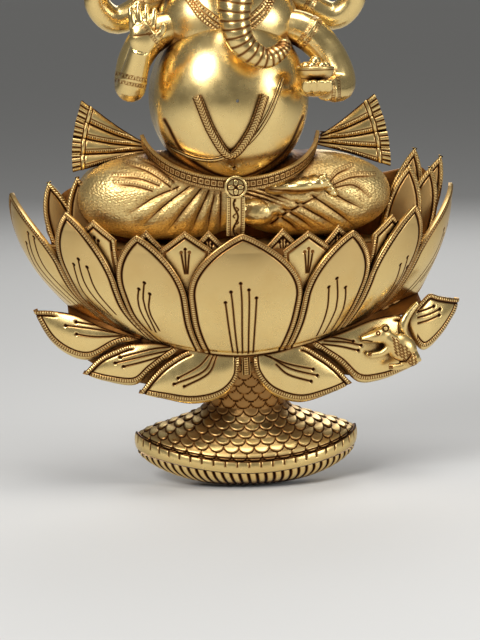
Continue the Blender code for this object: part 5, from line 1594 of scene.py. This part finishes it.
def make_crown():
    profile = spline([(0.0405, 0.5600), (0.0445, 0.5620), (0.0445, 0.569), (0.0405, 0.574), (0.0405, 0.584),
                      (0.0335, 0.592), (0.0320, 0.606), (0.0240, 0.613), (0.0215, 0.626), (0.0130, 0.634),
                      (0.0090, 0.644), (0.0075, 0.652), (0.0003, 0.6575)], 168)
    crown = lathe(profile, (FIGURE_X, -0.052), 280)
    crown.height -= 0.5 * MM
    around, up = crown.flat.T
    bead = ripple(around, 5.561 * MM)
    for height in (0.5655, 0.588, 0.609, 0.630):
        near = bell(up - height, 1.6 * MM)
        crown.height += 0.5 * MM * near * bead
        crown.darken(0.8 * near * (1 - bead) ** 1.5)
        for side in (-2.6, 2.6):
            crown.darken(0.8 * bell(up - height - side * MM, 0.6 * MM))
    leaf = np.abs((around / (14.0 * MM)) % 1 - 0.5) * 2
    for low, high in ((0.571, 0.587), (0.592, 0.607), (0.613, 0.628)):
        share = (up - low) / (high - low)
        inside = (share > 0) & (share < 1)
        gap = (leaf - (1 - share)) * 6 * MM
        crown.darken(np.where(inside, 0.85 * bell(gap, 0.7 * MM), 0))
        crown.height += np.where(inside & (gap < 0), 0.4 * MM, 0)
    crown.cast("crown_cast", 0.0022, CHASED, ["crown"])


def make_ring():
    """The hanging ring, a bent wire with a brazed joint, on its own body."""
    bm = bmesh.new()
    around, sides = 144, 28
    rings = []
    for i in range(around):
        turn = 2 * math.pi * i / around
        joint = math.remainder(turn - math.pi, 2 * math.pi) / 0.10
        wire = 0.97 * RING_WIRE * (1 + 0.05 * math.exp(-joint ** 2))
        ring = []
        for k in range(sides):
            lean = 2 * math.pi * k / sides
            reach = RING_RADIUS + wire * math.cos(lean)
            ring.append(bm.verts.new((LUG[0] + reach * math.sin(turn), LUG[1] + wire * math.sin(lean),
                                      LUG[2] - RING_RADIUS + reach * math.cos(turn))))
        rings.append(ring)
    for first, second in zip(rings, rings[1:] + rings[:1]):
        bridge(bm, first, second)
    bmesh.ops.recalc_face_normals(bm, faces=bm.faces)
    mesh = to_mesh(bm, "ring")
    paint(mesh, np.full(len(mesh.vertices), 0.10))
    put("hanging_ring_wire", mesh, AGED_AND_SHADED, ["hanging_ring"], "ring")


# ---------------------------------------------------------------- floor, light and camera
AIM = Vector((0.0, -0.05, 0.1686))
DISTANCE = 2.4
AZIMUTH = math.radians(-6.5)
ELEVATION = math.radians(8.0)
ROLL = math.radians(-1.0)
FLOOR_COLOUR = (0.64, 0.635, 0.62, 1)
SKY_COLOUR = (0.60, 0.60, 0.59, 1)
LIT_POINT = (0, -0.05, 0.25)
# Name, place, size in metres and power in watts.
LAMPS = [
    ("key", (-1.5, -1.9, 1.9), 1.2, 52),
    ("fill", (1.9, -1.6, 0.9), 1.0, 17),
    ("top", (0.2, -0.6, 2.4), 1.4, 27),
    ("back", (0.6, 2.2, 1.6), 1.6, 18),
]


def look_at(obj, target, roll=0.0):
    obj.rotation_mode = "QUATERNION"
    turn = (Vector(target) - obj.location).to_track_quat("-Z", "Y")
    obj.rotation_quaternion = turn @ Quaternion((0, 0, 1), roll)


def make_stage():
    scene = bpy.context.scene
    camera = add("camera", bpy.data.cameras.new("camera"))
    camera.data.sensor_fit = "VERTICAL"
    camera.data.sensor_height = 36.0
    camera.data.lens = 135.0
    back = Vector((math.sin(AZIMUTH) * math.cos(ELEVATION), -math.cos(AZIMUTH) * math.cos(ELEVATION),
                   math.sin(ELEVATION)))
    camera.location = AIM + back * DISTANCE
    look_at(camera, AIM, ROLL)
    scene.camera = camera

    bm = bmesh.new()
    bmesh.ops.create_circle(bm, cap_ends=True, segments=128, radius=90.0)
    floor = add("floor", to_mesh(bm, "floor"))
    floor.location = (0, 0, -0.0005)
    material = bpy.data.materials.new("floor")
    material.use_nodes = True
    shader = material.node_tree.nodes["Principled BSDF"]
    shader.inputs["Base Color"].default_value = FLOOR_COLOUR
    shader.inputs["Roughness"].default_value = 0.75
    floor.data.materials.append(material)

    world = bpy.data.worlds.new("studio")
    scene.world = world
    world.use_nodes = True
    sky = world.node_tree.nodes["Background"]
    sky.inputs["Color"].default_value = SKY_COLOUR
    sky.inputs["Strength"].default_value = 0.30
    scene.view_settings.view_transform = "Standard"

    for name, place, size, power in LAMPS:
        lamp = bpy.data.lights.new(name, "AREA")
        lamp.shape = "DISK"
        lamp.size = size
        lamp.energy = power
        light = add(name, lamp)
        light.location = place
        look_at(light, LIT_POINT)


def main():
    make_stage()
    make_pedestal()
    make_lotus()
    make_mouse()
    make_legs()
    make_feet()
    make_belly()
    make_belt()
    make_medallion()
    make_sash()
    make_thread_and_garland()
    for name, (lower, upper) in SCARVES.items():
        make_scarf(name, lower, upper)
    make_arms()
    make_held_things()
    make_head()
    make_ears()
    make_tusks()
    make_crown()
    make_ring()


main()
